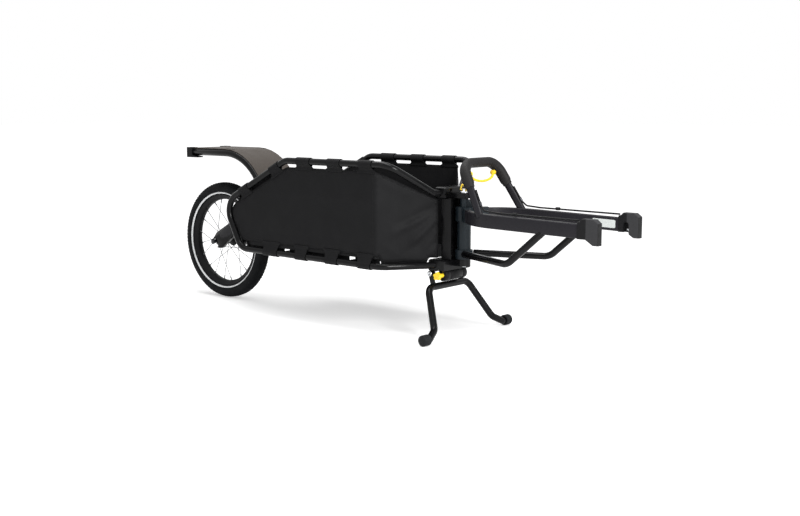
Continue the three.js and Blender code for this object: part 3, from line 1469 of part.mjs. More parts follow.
function yokeHeadGeometry() {
  const crownBottom = crownTop - crownHeight;
  const tube = rod([0, 0, yokeTubeBottom], [0, 0, crownTop], yokeTubeRadius);
  const neck = rod([0, 0, crownTop - cutOverrun], [0, 0, yokeNeckTop], yokeNeckRadius);
  const lowCollar = rod([0, 0, collarBottom], [0, 0, collarTop], collarRadius);
  const ring = rod([0, 0, crownBottom], [0, 0, crownTop], crownRingRadius);
  const stubs = [-1, 1].map((side) => slabXY(stubOutline(side, 0, crownStubLength,
    yokeArmWidth / 2 + yokeArmEdge / 2),
    crownBottom, crownTop));
  const web = slabXY([[0, -lugRadius], [crownWebReach, -crownWebHalf], [crownWebReach, crownWebHalf],
    [0, lugRadius]],
    crownBottom, crownTop);
  const fin = slabXZ([
    [0, crownTop - cutOverrun],
    [crownFinReach, crownTop - cutOverrun],
    [crownFinReach, crownTop],
    [crownFinReach - crownFinHeight / 4, crownTop + crownFinHeight / 2],
    [crownFinReach / 2, crownTop + crownFinHeight],
    [0, crownTop + crownFinHeight],
  ], -crownFinHalf, crownFinHalf);
  const wideBore = rod([0, 0, yokeTubeBottom - cutOverrun], [0, 0, bushShoulderHeight], yokeTubeBore);
  const pinBore = rod([0, 0, bushShoulderHeight - cutOverrun], [0, 0, yokeNeckTop + cutOverrun],
    kingpinRadius + runningGap);
  return cut(join(tube, neck, lowCollar, ring, ...stubs, web, facingOut(solidGeometry(fin))), wideBore,
    pinBore);
}

// An arm in plan: along the stub's line, round the bend, then straight to the hitch block
function yokeArmOutline(halfWidth, startExtra, endReach) {
  const bendStart = (yokeArmHalfTrack - yokeBendRadius * (1 - Math.cos(yokeSplay))) / Math.tan(yokeSplay);
  const centreX = bendStart + yokeBendRadius * Math.sin(yokeSplay);
  const centreY = yokeArmHalfTrack - yokeBendRadius;
  const [alongX, alongY] = [Math.cos(yokeSplay), Math.sin(yokeSplay)];
  const startReach = crownStubLength + seatGap - startExtra;
  const side = (across) => {
    const points = [[alongX * startReach - alongY * across, alongY * startReach + alongX * across]];
    for (let step = 0; step <= yokeBendSteps; step += 1) {
      const turn = yokeSplay * (1 - step / yokeBendSteps);
      const radius = yokeBendRadius + across;
      points.push([centreX - radius * Math.sin(turn), centreY + radius * Math.cos(turn)]);
    }
    points.push([endReach, yokeArmHalfTrack + across]);
    return points;
  };
  return [...side(-halfWidth), ...side(halfWidth).reverse()];
}

// The arm's solid, or a cutter of its shape grown by a margin; it drops slightly to the front
function yokeArmSolid({ widen = 0, heighten = 0, startExtra = 0, endExtra = 0, edge = 0 }) {
  const outline = yokeArmOutline(yokeArmWidth / 2 + widen, startExtra, yokeArmEndReach + endExtra);
  const arm = slabXY(outline, yokeArmBottom - heighten, yokeArmBottom + yokeArmHeight + heighten, edge);
  const drop = new THREE.Matrix4().set(1, 0, 0, 0, 0, 1, 0, 0, -yokeArmDropShare, 0, 1,
    yokeArmDropShare * yokeArmDropReach, 0, 0, 0, 1);
  return facingOut(solidGeometry(arm.applyMatrix4(drop)));
}

function yokeArmGeometry() {
  const hollow = yokeArmSolid({ widen: -yokeArmWall, heighten: -yokeArmWall, startExtra: -yokeArmWall,
    endExtra: cutOverrun });
  return cut(yokeArmSolid({ edge: yokeArmEdge }), hollow);
}

function braceGeometry() {
  const route = rounded([
    [0, braceRootHalf, braceRootHeight],
    [braceBendReach, yokeArmHalfTrack, braceBendHeight, braceBend],
    [braceTopReach, yokeArmHalfTrack, braceTopHeight],
  ]);
  const collarRoom = rod([0, 0, collarBottom - cutOverrun], [0, 0, collarTop + cutOverrun],
    collarRadius + seatGap);
  const armRoom = yokeArmSolid({ widen: braceRadius, heighten: seatGap });
  return cut(tubeAlong(route, braceRadius, braceRadius - braceWall), collarRoom, armRoom);
}

// Handle: an inverted U that leans back; each leg stands on an arm
const handleLean = (handleFootReach - handleTopReach) / (handleTopHeight - handleFootHeight);
const handleNarrow = (handleFootHalf - handleTopHalf) / (handleTopHeight - handleFootHeight);

function handleAt(height) {
  const rise = height - handleFootHeight;
  return [handleFootReach - rise * handleLean, handleFootHalf - rise * handleNarrow, height];
}

function handleRoute(endHeight) {
  const right = [handleAt(endHeight), [handleTopReach, handleTopHalf, handleTopHeight, handleBend]];
  const left = right.map(([x, y, z, radius]) => [x, -y, z, radius]).reverse();
  return rounded([...right, ...left], { steps: bendSteps + 2 });
}

const bailReach = handleAt(bailHeight)[0] - bailBack;

function bailPinHole(side) {
  return rod([bailReach, side * (bailHubHalf - bailHubLength), bailHeight],
    [bailReach, side * (bailHubHalf + bailPinReach + seatGap), bailHeight], bailPinRadius + runningGap);
}

function handleTubeGeometry() {
  const route = handleRoute(handleFootHeight - handleSink);
  const tube = ovalAlong(route, handleTubeHalfWidth, handleTubeHalfDepth, handleTubeWall);
  const armRoom = yokeArmSolid({ widen: handleTubeHalfDepth, heighten: seatGap });
  return cut(tube, armRoom, mirrored(armRoom), bailPinHole(-1), bailPinHole(1));
}

function gripGeometry() {
  const route = handleRoute(gripEndHeight);
  const foam = ovalAlong(route, gripHalfWidth, gripHalfDepth);
  const core = ovalAlong(handleRoute(gripEndHeight - cutOverrun), handleTubeHalfWidth + socketGap,
    handleTubeHalfDepth + socketGap);
  return cut(foam, core, bailPinHole(-1), bailPinHole(1));
}

// The release bail hangs between the handle's legs on two pins, drawn from its own axis
function bailGeometry() {
  const hub = rod([0, bailHubHalf - bailHubLength, 0], [0, bailHubHalf, 0], bailHubRadius);
  const pin = rod([0, bailHubHalf - bailHubLength, 0], [0, bailHubHalf + bailPinReach, 0], bailPinRadius);
  const hang = Array.from({ length: bailSteps + 1 }, (_, i) => {
    const turn = (i * Math.PI) / bailSteps;
    const drop = Math.sin(turn);
    return new THREE.Vector3(bailSwing * drop, -bailWireHalf * Math.cos(turn), -bailSag * drop);
  });
  const wire = tubeAlong(hang, bailWireRadius, 0, slimSides);
  return join(hub, mirrored(hub), pin, mirrored(pin), wire);
}

// A place beside the front of the handle's leg, where a release cable runs
function besideLeg(height) {
  const [reach, half] = handleAt(height);
  const front = handleTubeHalfDepth * Math.hypot(1, handleLean);
  return [reach + front + cableRadius + cableLegGap, half, height];
}

// A release cable's route, from under the grip down the leg and along the arm's top to the hitch block
const cableRoute = [
  besideLeg(gripEndHeight - cableTopDrop),
  besideLeg(handleFootHeight + cableTurnRise),
  [146, 104, 378],
  [160, 104.5, 375.6],
  [190, 106, 375],
  [240, 107.5, 374.4],
  [330, 107.5, 374],
  [405, 107.5, 373.4],
  [443, 107.5, 372.6],
];

// The hitch block: deep nose, stepped sole, pocket for the axle stub, channel for the latch
function blockOutline() {
  const rear = noseReach - blockLength;
  return [
    [rear, blockHeelBottom],
    [noseReach - blockHeelReach, blockHeelBottom],
    [noseReach - blockNoseSole, blockNoseBottom],
    [noseReach, blockNoseBottom],
    [noseReach, blockNoseTop],
    [noseReach - blockNoseSlope, blockTop],
    [rear + blockNeckLength, blockTop],
    [rear + blockNeckLength / 2, blockNeckTop],
    [rear, blockNeckTop],
  ];
}

const pocketPlace = noseReach - pocketReach;
const pocketFront = pocketPlace + pocketRadius;
const blockInnerHalf = blockHalfTrack - blockHalfWidth;

function hitchBlockGeometry() {
  const body = slabXZ(blockOutline(), blockInnerHalf, blockHalfTrack + blockHalfWidth, blockEdge);
  const pocketHigh = blockInnerHalf + pocketDepth;
  const seat = rod([pocketPlace, blockInnerHalf - cutOverrun, pocketHeight],
    [pocketPlace, pocketHigh, pocketHeight],
    pocketRadius);
  const slot = block(pocketPlace - pocketRadius, pocketFront, blockInnerHalf - cutOverrun, pocketHigh,
    blockNoseBottom - cutOverrun, pocketHeight);
  const channelLow = blockInnerHalf + latchInset - seatGap;
  const channel = block(pocketPlace, pocketFront - latchBite + latchLength + latchTravel + seatGap,
    channelLow,
    channelLow + latchDepth + 2 * seatGap, latchTopHeight - latchHeight - seatGap,
      latchTopHeight + seatGap);
  const armRoom = yokeArmSolid({ widen: seatGap, heighten: seatGap, endExtra: seatGap });
  return cut(facingOut(solidGeometry(body)), seat, slot, channel, armRoom);
}

// The latch: a sliding tongue that closes the pocket under the axle stub, sloped underneath
function latchGeometry() {
  const rear = pocketFront - latchBite;
  const low = blockInnerHalf + latchInset;
  return slabXZ([
    [rear, latchTopHeight],
    [rear, latchTopHeight - latchHeight / 3],
    [pocketFront, latchTopHeight - latchHeight],
    [rear + latchLength, latchTopHeight - latchHeight],
    [rear + latchLength, latchTopHeight],
  ], low, low + latchDepth);
}

function buildYoke(parent) {
  piece(parent, 'yoke_head', yokeHeadGeometry(), 'graphite');
  const bush = (low) => upright(collar(kingpinRadius + runningGap, yokeTubeBore - seatGap,
    -(low + yokeBushLength), -low))
    .rotateX(Math.PI);
  piece(parent, 'yoke_bush_lower', bush(yokeTubeBottom), 'bushBronze');
  piece(parent, 'yoke_bush_upper', bush(bushShoulderHeight - seatGap - yokeBushLength), 'bushBronze');
  const cable = tubeAlong(cableRoute.map((point) => new THREE.Vector3(...point)), cableRadius, 0,
    slimSides);
  const pairs = [
    ['yoke_arm', yokeArmGeometry(), 'graphite'],
    ['lower_brace', braceGeometry(), 'blackFrame'],
    ['release_cable', cable, 'cableBlack'],
    ['hitch_block', hitchBlockGeometry(), 'blockPlastic'],
    ['hitch_latch', facingOut(solidGeometry(latchGeometry())), 'darkSteel'],
  ];
  pairs.forEach(([name, geometry, finish]) => {
    piece(parent, `${name}_left`, geometry, finish);
    piece(parent, `${name}_right`, mirrored(geometry), finish);
  });
  piece(parent, 'handle_tube', handleTubeGeometry(), 'graphite');
  piece(parent, 'handle_grip', gripGeometry(), 'gripFoam');
  piece(placed(parent, bailReach, 0, bailHeight), 'release_bail', bailGeometry(), 'yellow');
}

const trailer = new THREE.Group();
const fromWheel = placed(trailer, axlePlace, 0, 0);
buildFrame(fromWheel);
buildSwingArm(placed(fromWheel, pivotStation, 0, pivotHeight));
buildKickstand(placed(fromWheel, kickPivotStation, 0, kickPivotHeight));
buildKnob(placed(fromWheel, lockBarrelStation, 0, lockBarrelHeight));
const atHead = placed(fromWheel, headStation, 0, 0);
buildKingpin(atHead);
buildYoke(atHead);

export default trailer;
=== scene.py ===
# %% [markdown]
# # Single wheel touring trailer
# A bicycle trailer with one wheel at its rear and a steering yoke at its nose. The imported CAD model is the
# frame. Each cell below dresses a part of it: smooth tubes, sewn fabric, rubber, plastic and steel.

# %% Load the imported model
import math
import bmesh
import bpy
import numpy as np
from mathutils import Matrix, Vector
from mathutils.geometry import delaunay_2d_cdt


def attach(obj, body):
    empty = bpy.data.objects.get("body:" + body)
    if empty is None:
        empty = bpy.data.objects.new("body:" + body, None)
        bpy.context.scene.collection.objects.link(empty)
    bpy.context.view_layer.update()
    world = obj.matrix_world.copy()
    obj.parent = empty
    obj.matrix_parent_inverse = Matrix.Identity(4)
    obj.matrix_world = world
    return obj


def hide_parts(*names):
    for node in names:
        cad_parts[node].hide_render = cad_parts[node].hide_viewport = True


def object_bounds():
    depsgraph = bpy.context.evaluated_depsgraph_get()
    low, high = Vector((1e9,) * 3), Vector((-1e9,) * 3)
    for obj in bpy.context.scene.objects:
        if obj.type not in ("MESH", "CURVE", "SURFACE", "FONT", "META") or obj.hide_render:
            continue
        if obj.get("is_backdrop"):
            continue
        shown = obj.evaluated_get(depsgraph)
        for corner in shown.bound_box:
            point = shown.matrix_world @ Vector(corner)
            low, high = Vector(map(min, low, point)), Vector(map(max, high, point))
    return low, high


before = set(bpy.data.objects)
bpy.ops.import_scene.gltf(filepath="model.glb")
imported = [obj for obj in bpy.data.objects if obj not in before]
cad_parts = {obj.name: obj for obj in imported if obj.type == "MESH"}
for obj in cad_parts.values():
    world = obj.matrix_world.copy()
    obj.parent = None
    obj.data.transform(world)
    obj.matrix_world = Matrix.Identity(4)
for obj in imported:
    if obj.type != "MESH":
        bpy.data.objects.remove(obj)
cad_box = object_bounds()
print("CAD box", [tuple(round(value, 3) for value in corner) for corner in cad_box])

# %% [markdown]
# ## Places along the trailer
# The trailer is measured from its wheel axle: a station runs forward to the hitch, a side runs to the left,
# and a height starts at the floor, all in millimetres. One function turns these into the model's metres.

# %% Places
AXLE_TO_MIDDLE = 663
MM = 0.001
HEAD_STATION = 1021


def at(station, side, height):
    return Vector((station - AXLE_TO_MIDDLE, side, height)) * MM


print("wheel axle at", at(0, 0, 200))

# %% [markdown]
# ## The camera
# The trailer is seen from its right side, from a little ahead and a little above the rails. Both feet, the
# wheel and the level rails fix the place and the lens of the camera. It comes first, so that every later
# piece can be judged through it.

# %% Camera
CAMERA_PLACE = (2262.75, -2582.38, 666.95)
CAMERA_YAW = 0.69314
CAMERA_PITCH = 0.13705
FOCAL_PIXELS = 1116.52
PICTURE_WIDTH = 800
SENSOR_WIDTH = 36

lens = bpy.data.cameras.new("side_camera")
lens.sensor_width = SENSOR_WIDTH
lens.lens = FOCAL_PIXELS / PICTURE_WIDTH * SENSOR_WIDTH
camera = bpy.data.objects.new("side_camera", lens)
camera.location = Vector(CAMERA_PLACE) * MM
look = Vector((-math.sin(CAMERA_YAW) * math.cos(CAMERA_PITCH), math.cos(CAMERA_YAW) * math.cos(CAMERA_PITCH),
               -math.sin(CAMERA_PITCH)))
camera.rotation_euler = look.to_track_quat("-Z", "Y").to_euler()
bpy.context.scene.collection.objects.link(camera)
bpy.context.scene.camera = camera
print("camera lens", round(lens.lens, 2), "mm")

# %% [markdown]
# ## Materials
# Each material starts from what the real surface is made of. Colours are written as sRGB hex values and
# turned to linear light by one function. Another function adds a node with its settings and links.


# %% Material helpers
def linear(hex_colour):
    """An sRGB hex colour as linear light, with full opacity."""
    channels = [int(hex_colour[i:i + 2], 16) / 255 for i in (1, 3, 5)]
    return [c / 12.92 if c <= 0.04045 else ((c + 0.055) / 1.055) ** 2.4 for c in channels] + [1.0]


def add(tree, kind, settings=None, links=None):
    """Adds a node, sets its properties, and fills its sockets with values or with links to other sockets."""
    made = tree.nodes.new(kind)
    for name, value in (settings or {}).items():
        setattr(made, name, value)
    for socket, value in (links or {}).items():
        if isinstance(value, bpy.types.NodeSocket):
            tree.links.new(value, made.inputs[socket])
        else:
            made.inputs[socket].default_value = value
    return made


def surface(name, colour, roughness, metallic=0.0, **more):
    """A plain material, with what is needed to add a pattern to it."""
    material = bpy.data.materials.new(name)
    material.use_nodes = True
    tree = material.node_tree
    tree.nodes.clear()
    shader = add(tree, "ShaderNodeBsdfPrincipled", {}, {
        "Base Color": linear(colour), "Roughness": roughness, "Metallic": metallic, **more})
    add(tree, "ShaderNodeOutputMaterial", {}, {"Surface": shader.outputs["BSDF"]})
    place = add(tree, "ShaderNodeTexCoord")
    return material, tree, shader, place.outputs["Object"]


def speckle(tree, shader, place, size_mm, colours, depth_mm, detail=3.0):
    """Colour variation and a matching bump from one noise whose grain has a real size."""
    noise = add(tree, "ShaderNodeTexNoise", {}, {
        "Vector": place, "Scale": 1 / (size_mm * MM), "Detail": detail})
    ramp = add(tree, "ShaderNodeValToRGB", {}, {"Fac": noise.outputs["Fac"]})
    ramp.color_ramp.elements[0].position = 0.35
    ramp.color_ramp.elements[1].position = 0.65
    for element, colour in zip(ramp.color_ramp.elements, colours):
        element.color = linear(colour)
    tree.links.new(ramp.outputs["Color"], shader.inputs["Base Color"])
    bump = add(tree, "ShaderNodeBump", {}, {"Height": noise.outputs["Fac"], "Distance": depth_mm * MM})
    tree.links.new(bump.outputs["Normal"], shader.inputs["Normal"])


def vary_roughness(tree, shader, place, size_mm, low, high):
    """Patches of a real size, where handling and weather have made the surface smoother or rougher."""
    noise = add(tree, "ShaderNodeTexNoise", {}, {
        "Vector": place, "Scale": 1 / (size_mm * MM), "Detail": 4.0})
    spread = add(tree, "ShaderNodeMapRange", {}, {
        "Value": noise.outputs["Fac"], "From Min": 0.3, "From Max": 0.7, "To Min": low, "To Max": high})
    tree.links.new(spread.outputs["Result"], shader.inputs["Roughness"])


def finish(name, colour, roughness, metallic=0.0, gloss=0.5, grain=None, wear=None, **more):
    """A material. Grain is (size in mm, colours, depth in mm); wear is (size in mm, roughness from, to)."""
    more["Specular IOR Level"] = gloss
    material, tree, shader, place = surface(name, colour, roughness, metallic, **more)
    if grain:
        speckle(tree, shader, place, *grain)
    if wear:
        vary_roughness(tree, shader, place, *wear)
    return material


print("a mid grey is", round(linear("#808080")[0], 3), "in linear light")

# %% [markdown]
# Frame tubes are aluminium under black powder coat, which flows into a gloss with a faint orange peel. The
# yoke's extrusions are a satin graphite. Steel is bright where it is plated and dark where it is blackened.

# %% Paints and metals
powder_coat = finish("black_powder_coat", "#09090a", 0.2, gloss=0.14,
                     grain=(1.6, ("#070708", "#0d0d0e"), 0.015), wear=(30, 0.15, 0.26))
graphite_paint = finish("graphite_satin_paint", "#17161a", 0.36, gloss=0.16,
                        grain=(1.2, ("#131216", "#1b1a1e"), 0.02), wear=(40, 0.32, 0.46))
head_coat = finish("blue_black_powder_coat", "#11161a", 0.32, gloss=0.18,
                   grain=(1.4, ("#10161a", "#182025"), 0.02), wear=(35, 0.28, 0.42))
rim_anodised = finish("black_anodised_aluminium", "#0c0c0e", 0.4, gloss=0.12,
                      grain=(0.9, ("#090a0b", "#101012"), 0.01))
plated_steel = finish("zinc_plated_steel", "#b7b9bc", 0.28, metallic=1.0,
                      grain=(2.0, ("#a6a8ab", "#c6c8ca"), 0.01), wear=(6, 0.2, 0.4))
spoke_steel = finish("stainless_spoke_steel", "#77797b", 0.3, metallic=1.0, wear=(8, 0.22, 0.4))
spring_steel = finish("black_oxide_spring_steel", "#3a3b3e", 0.34, metallic=0.9,
                      grain=(1.5, ("#2f3033", "#444548"), 0.01))
sintered_bronze = finish("sintered_bronze", "#9c7b45", 0.42, metallic=0.9,
                         grain=(0.6, ("#8a6b39", "#ad8a52"), 0.02))
print("materials after the metals", len(bpy.data.materials))

# %% [markdown]
# Rubber and foam scatter light over a wide angle. The tyre is matt, with dust in its fine grain. The grip is
# closed-cell foam, whose small cells soften each highlight.

# %% Rubbers and foam
tyre_rubber = finish("tyre_rubber", "#131415", 0.7, gloss=0.08,
                     grain=(2.5, ("#101112", "#191a1c"), 0.08), wear=(25, 0.6, 0.82))
tube_rubber = finish("butyl_rubber", "#111111", 0.6, grain=(2.0, ("#0e0e0e", "#161616"), 0.03))
foot_rubber = finish("moulded_foot_rubber", "#151616", 0.62, gloss=0.14,
                     grain=(1.8, ("#101112", "#1e2022"), 0.12))
grip_foam = finish("closed_cell_foam", "#1a1919", 0.6, gloss=0.16,
                   grain=(1.1, ("#161515", "#201f1f"), 0.12, 5.0))
print("materials after the rubbers", len(bpy.data.materials))

# %% [markdown]
# Moulded nylon takes a fine spark-eroded grain from its mould. The fender plate is a thicker sheet of
# polypropylene in a warm grey, with a coarser grain. The yellow parts are glossier, and let a little
# light in.

# %% Plastics
black_nylon = finish("moulded_black_nylon", "#0c0c0d", 0.45, gloss=0.12,
                     grain=(0.8, ("#0b0b0c", "#151516"), 0.06), wear=(20, 0.42, 0.58))
block_nylon = finish("moulded_grey_nylon", "#2c2c2d", 0.55, gloss=0.12,
                     grain=(0.9, ("#28282a", "#323233"), 0.08))
fender_sheet = finish("grained_polypropylene", "#443f3b", 0.55, gloss=0.12,
                      grain=(1.4, ("#3d3835", "#49443f"), 0.1), wear=(50, 0.48, 0.62))
yellow_nylon = finish("yellow_nylon", "#ecc928", 0.38, grain=(1.5, ("#e3bd1f", "#f2d334"), 0.02),
                      **{"Subsurface Weight": 0.1, "Subsurface Scale": 0.003})
cable_sheath = finish("pvc_cable_sheath", "#0b0b0c", 0.4, gloss=0.14,
                      grain=(1.2, ("#0c0c0d", "#151516"), 0.02))
reflective_tape = finish("glass_bead_tape", "#eceeee", 0.35,
                         grain=(0.7, ("#e2e5e6", "#f4f5f5"), 0.03), wear=(10, 0.28, 0.42))
reflector_film = finish("prismatic_reflector_film", "#b4b8b6", 0.4,
                        grain=(1.5, ("#abafad", "#bec2c0"), 0.03))
print("materials after the plastics", len(bpy.data.materials))

# %% [markdown]
# The sling is a coated nylon cloth. Its threads run along and across the panel, about 0.6 mm apart, which is
# drawn as 2.4 mm so that a trace of it shows. The weave follows the cloth's own map, in metres.

# %% Woven cloth
THREAD_PITCH = 2.4
WAVE_PERIOD = 2 * math.pi / 20
PATCH_SIZE = 45


def woven(name, dark, light):
    """A cloth of crossing threads: two wave patterns, which repeat every WAVE_PERIOD at a scale of 1."""
    material, tree, shader, place = surface(name, dark, 0.52, 0.0, **{"Specular IOR Level": 0.06})
    cloth_map = add(tree, "ShaderNodeUVMap", {"uv_map": "cloth"})
    scale = WAVE_PERIOD / (THREAD_PITCH * MM)
    threads = [add(tree, "ShaderNodeTexWave", {"bands_direction": direction, "wave_profile": "SIN"},
                   {"Vector": cloth_map.outputs["UV"], "Scale": scale, "Distortion": 1.2,
                    "Detail Scale": 2.0})
               for direction in ("X", "Y")]
    weave = add(tree, "ShaderNodeMath", {"operation": "MULTIPLY"},
                {0: threads[0].outputs["Fac"], 1: threads[1].outputs["Fac"]})
    patches = add(tree, "ShaderNodeTexNoise", {}, {
        "Vector": place, "Scale": 1 / (PATCH_SIZE * MM), "Detail": 5.0})
    blend = add(tree, "ShaderNodeMix", {"data_type": "RGBA"},
                {0: patches.outputs["Fac"], 6: linear(dark), 7: linear(light)})
    lift = add(tree, "ShaderNodeMix", {"data_type": "RGBA", "blend_type": "MULTIPLY"},
               {0: 0.25, 6: blend.outputs[2], 7: weave.outputs[0]})
    tree.links.new(lift.outputs[2], shader.inputs["Base Color"])
    bump = add(tree, "ShaderNodeBump", {}, {
        "Height": weave.outputs[0], "Distance": 0.25 * MM, "Strength": 0.5})
    tree.links.new(bump.outputs["Normal"], shader.inputs["Normal"])
    return material


sling_cloth = woven("coated_woven_nylon", "#161617", "#1e1e1f")
stitch_thread = finish("polyester_thread", "#101011", 0.6, gloss=0.2,
                       grain=(0.8, ("#0c0c0d", "#161617"), 0.05))
print("materials", len(bpy.data.materials))

# %% [markdown]
# ## Bent lines
# Most of the trailer is bent tube. A bending machine leaves straight runs joined by true arcs, and one
# helper rounds the corners of a line in that way. A bevelled curve could be used too, but its handles
# don't know a bend radius in millimetres.


# %% Bent lines
def bent_line(corners, steps=10):
    """A line through corners (station, side, height, bend radius), round where a radius is given."""
    places = [at(*corner[:3]) for corner in corners]
    line = [places[0]]
    for before, here, after, corner in zip(places, places[1:], places[2:], corners[1:-1]):
        radius = corner[3] * MM
        into, out = (here - before).normalized(), (after - here).normalized()
        turn, axis = into.angle(out), into.cross(out).normalized()
        start = here - into * radius * math.tan(turn / 2)
        centre = start + axis.cross(into) * radius
        line += [centre + Matrix.Rotation(turn * i / steps, 3, axis) @ (start - centre)
                 for i in range(steps + 1)]
    return line + [places[-1]]


print("points in a line with one bend", len(bent_line([(0, 0, 0), (90, 0, 0, 40), (90, 90, 0)])))

# %% [markdown]
# ## Skins
# A tube's skin is an outline carried along its line, ring by ring, with a cap at each end. A real cut end is
# deburred, so two rings near each end are drawn in a little, and the edge catches a thin line of light.


# %% Skins
def new_piece(name, points, faces, material):
    """A smooth object at the origin, with its place in its mesh."""
    mesh = bpy.data.meshes.new(name)
    mesh.from_pydata([tuple(point) for point in points], [], faces)
    mesh.materials.append(material)
    mesh.shade_smooth()
    mesh.update()
    piece = bpy.data.objects.new(name, mesh)
    bpy.context.scene.collection.objects.link(piece)
    return piece


def oval(half_width, half_depth, sides):
    """A round or oval outline, from its half sizes in mm."""
    turns = [2 * math.pi * i / sides for i in range(sides)]
    return [(half_width * MM * math.cos(turn), half_depth * MM * math.sin(turn)) for turn in turns]


def skin(line, outline, sizes=None, normal=None):
    """Points and faces of a closed skin: the outline is carried along the line, with a cap at each end."""
    sizes = sizes or [1.0] * len(line)
    count = len(outline)
    points, faces = [], []
    tangents = [(after - before).normalized() for before, after in zip(line[:1] + line, line[1:] + line[-1:])]
    side = normal or tangents[0].orthogonal()
    for place, along, size in zip(line, tangents, sizes):
        side = (side - along * side.dot(along)).normalized()
        up = along.cross(side)
        points += [place + (side * x + up * y) * size for x, y in outline]
    for row in range(len(line) - 1):
        for i in range(count):
            j = (i + 1) % count
            faces.append((row * count + i, row * count + j, (row + 1) * count + j, (row + 1) * count + i))
    last = (len(line) - 1) * count
    faces.append(tuple(reversed(range(count))))
    faces.append(tuple(range(last, last + count)))
    return points, faces


def soft_ends(line, edge):
    """The line with two more points near each end, where a cut end's soft edge starts and stops."""
    head = (line[0] - line[1]).normalized() * edge * MM
    tail = (line[-1] - line[-2]).normalized() * edge * MM
    return ([line[0], line[0] - head * 0.3, line[0] - head] + line[1:-1]
            + [line[-1] - tail, line[-1] - tail * 0.3, line[-1]])


def tube(name, line, radius, material, sides=28, edge=1.0, depth=None, normal=None):
    """A solid round or oval bar along a line, with soft ends."""
    cut = 1 - edge / radius
    near_cut = 1 - (1 - cut) * 0.35
    sizes = [cut, near_cut] + [1.0] * len(line) + [near_cut, cut]
    points, faces = skin(soft_ends(line, edge), oval(radius, depth or radius, sides), sizes, normal)
    return new_piece(name, points, faces, material)


print("points round a plain tube", len(oval(10, 10, 28)))

# %% [markdown]
# ## Turned parts
# The hub, bolts, feet and rim come from a lathe or a round mould. A section is drawn once, as pairs of a
# radius and a place along the axis, and is turned round it. The points on the axis are merged first, and
# then the normals are recalculated, because a turned shape can come out inside out.


# %% Turned parts
def piece_from(mesh, name, material, smooth=True):
    """A piece made from a bmesh, which is freed."""
    piece = new_piece(name, [], [], material)
    mesh.to_mesh(piece.data)
    mesh.free()
    if smooth:
        piece.data.shade_smooth()
    return piece


def turned(name, profile, centre, axis, material, steps=96):
    """A closed profile of (radius, place along the axis) turned round Y or Z through the centre."""
    along = {"Y": Vector((0, 1, 0)), "Z": Vector((0, 0, 1))}[axis]
    across = {"Y": Vector((0, 0, 1)), "Z": Vector((1, 0, 0))}[axis]
    third = along.cross(across)
    mesh = bmesh.new()
    rings = []
    for step in range(steps):
        turn = 2 * math.pi * step / steps
        out = across * math.cos(turn) + third * math.sin(turn)
        rings.append([mesh.verts.new((centre + out * radius + along * place) * MM)
                      for radius, place in profile])
    on_axis = profile[0][0] == 0 and profile[-1][0] == 0
    for one, two in zip(rings, rings[1:] + rings[:1]):
        for i in range(len(profile) - on_axis):
            j = (i + 1) % len(profile)
            mesh.faces.new((one[i], one[j], two[j], two[i]))
    bmesh.ops.remove_doubles(mesh, verts=mesh.verts, dist=1e-6)
    bmesh.ops.recalc_face_normals(mesh, faces=mesh.faces)
    return piece_from(mesh, name, material)


def half_section(points):
    """A closed section from its points on one side of the middle plane."""
    return points + [(radius, -place) for radius, place in reversed(points)]


print("points of a mirrored section", len(half_section([(10, 5), (12, 3)])))

# %% [markdown]
# ## Soft edges
# Where a CAD node has the right shape already, a copy of it is dressed. Its loose triangles are merged,
# its flat areas are made whole, and a Bevel modifier rounds each sharp edge, because light shows a real
# edge by the thin highlight on its round. Weighted normals keep the flat faces flat.


# %% Soft edges
def soften(piece, width, segments=2, angle=32):
    """Gives edges sharper than the angle a round of this width in mm, and evens the shading."""
    bevel = piece.modifiers.new("edge_round", "BEVEL")
    bevel.width, bevel.segments = width * MM, segments
    bevel.limit_method, bevel.angle_limit = "ANGLE", math.radians(angle)
    bevel.miter_outer = "MITER_ARC"
    piece.modifiers.new("even_shading", "WEIGHTED_NORMAL").keep_sharp = True
    return applied(piece)


def applied(piece):
    """Keeps the result of a piece's modifiers as its plain mesh."""
    ready = piece.evaluated_get(bpy.context.evaluated_depsgraph_get())
    mesh = bpy.data.meshes.new_from_object(ready)
    piece.modifiers.clear()
    piece.data = mesh
    return piece


def dressed(node, material, edge, cuts=(), angle=32):
    """A copy of a CAD node with merged corners and round edges; its faces are split at the cuts' stations."""
    mesh = bmesh.new()
    mesh.from_mesh(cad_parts[node].data)
    bmesh.ops.remove_doubles(mesh, verts=mesh.verts, dist=5e-6)
    bmesh.ops.dissolve_limit(mesh, angle_limit=math.radians(1.0), verts=mesh.verts, edges=mesh.edges)
    for station in cuts:
        bmesh.ops.bisect_plane(mesh, geom=mesh.verts[:] + mesh.edges[:] + mesh.faces[:],
                               plane_co=at(station, 0, 0), plane_no=(1, 0, 0))
    return soften(piece_from(mesh, node + "_shape", material), edge, 2, angle)


print("CAD nodes", len(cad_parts))

# %% [markdown]
# ## Pieces and bodies
# A finished piece rides on a body of the model and moves with it. It may stand for a CAD node, which is
# then hidden. The two sides of the trailer are alike, so the left one is made and mirrored, and the
# copy's faces are turned back to point outwards.


# %% Pieces and bodies
def keep(piece, body, *nodes, slot):
    """Sets a finished piece on its body, and hides the CAD nodes that it stands for."""
    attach(piece, body)
    if nodes:
        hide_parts(*nodes)
    return piece


def mirrored(piece, name):
    """The right-hand copy of a left-hand piece, with its faces turned back to point outwards."""
    mesh = piece.data.copy()
    mesh.transform(Matrix.Scale(-1, 4, (0, 1, 0)))
    mesh.flip_normals()
    copy = bpy.data.objects.new(name, mesh)
    bpy.context.scene.collection.objects.link(copy)
    return copy


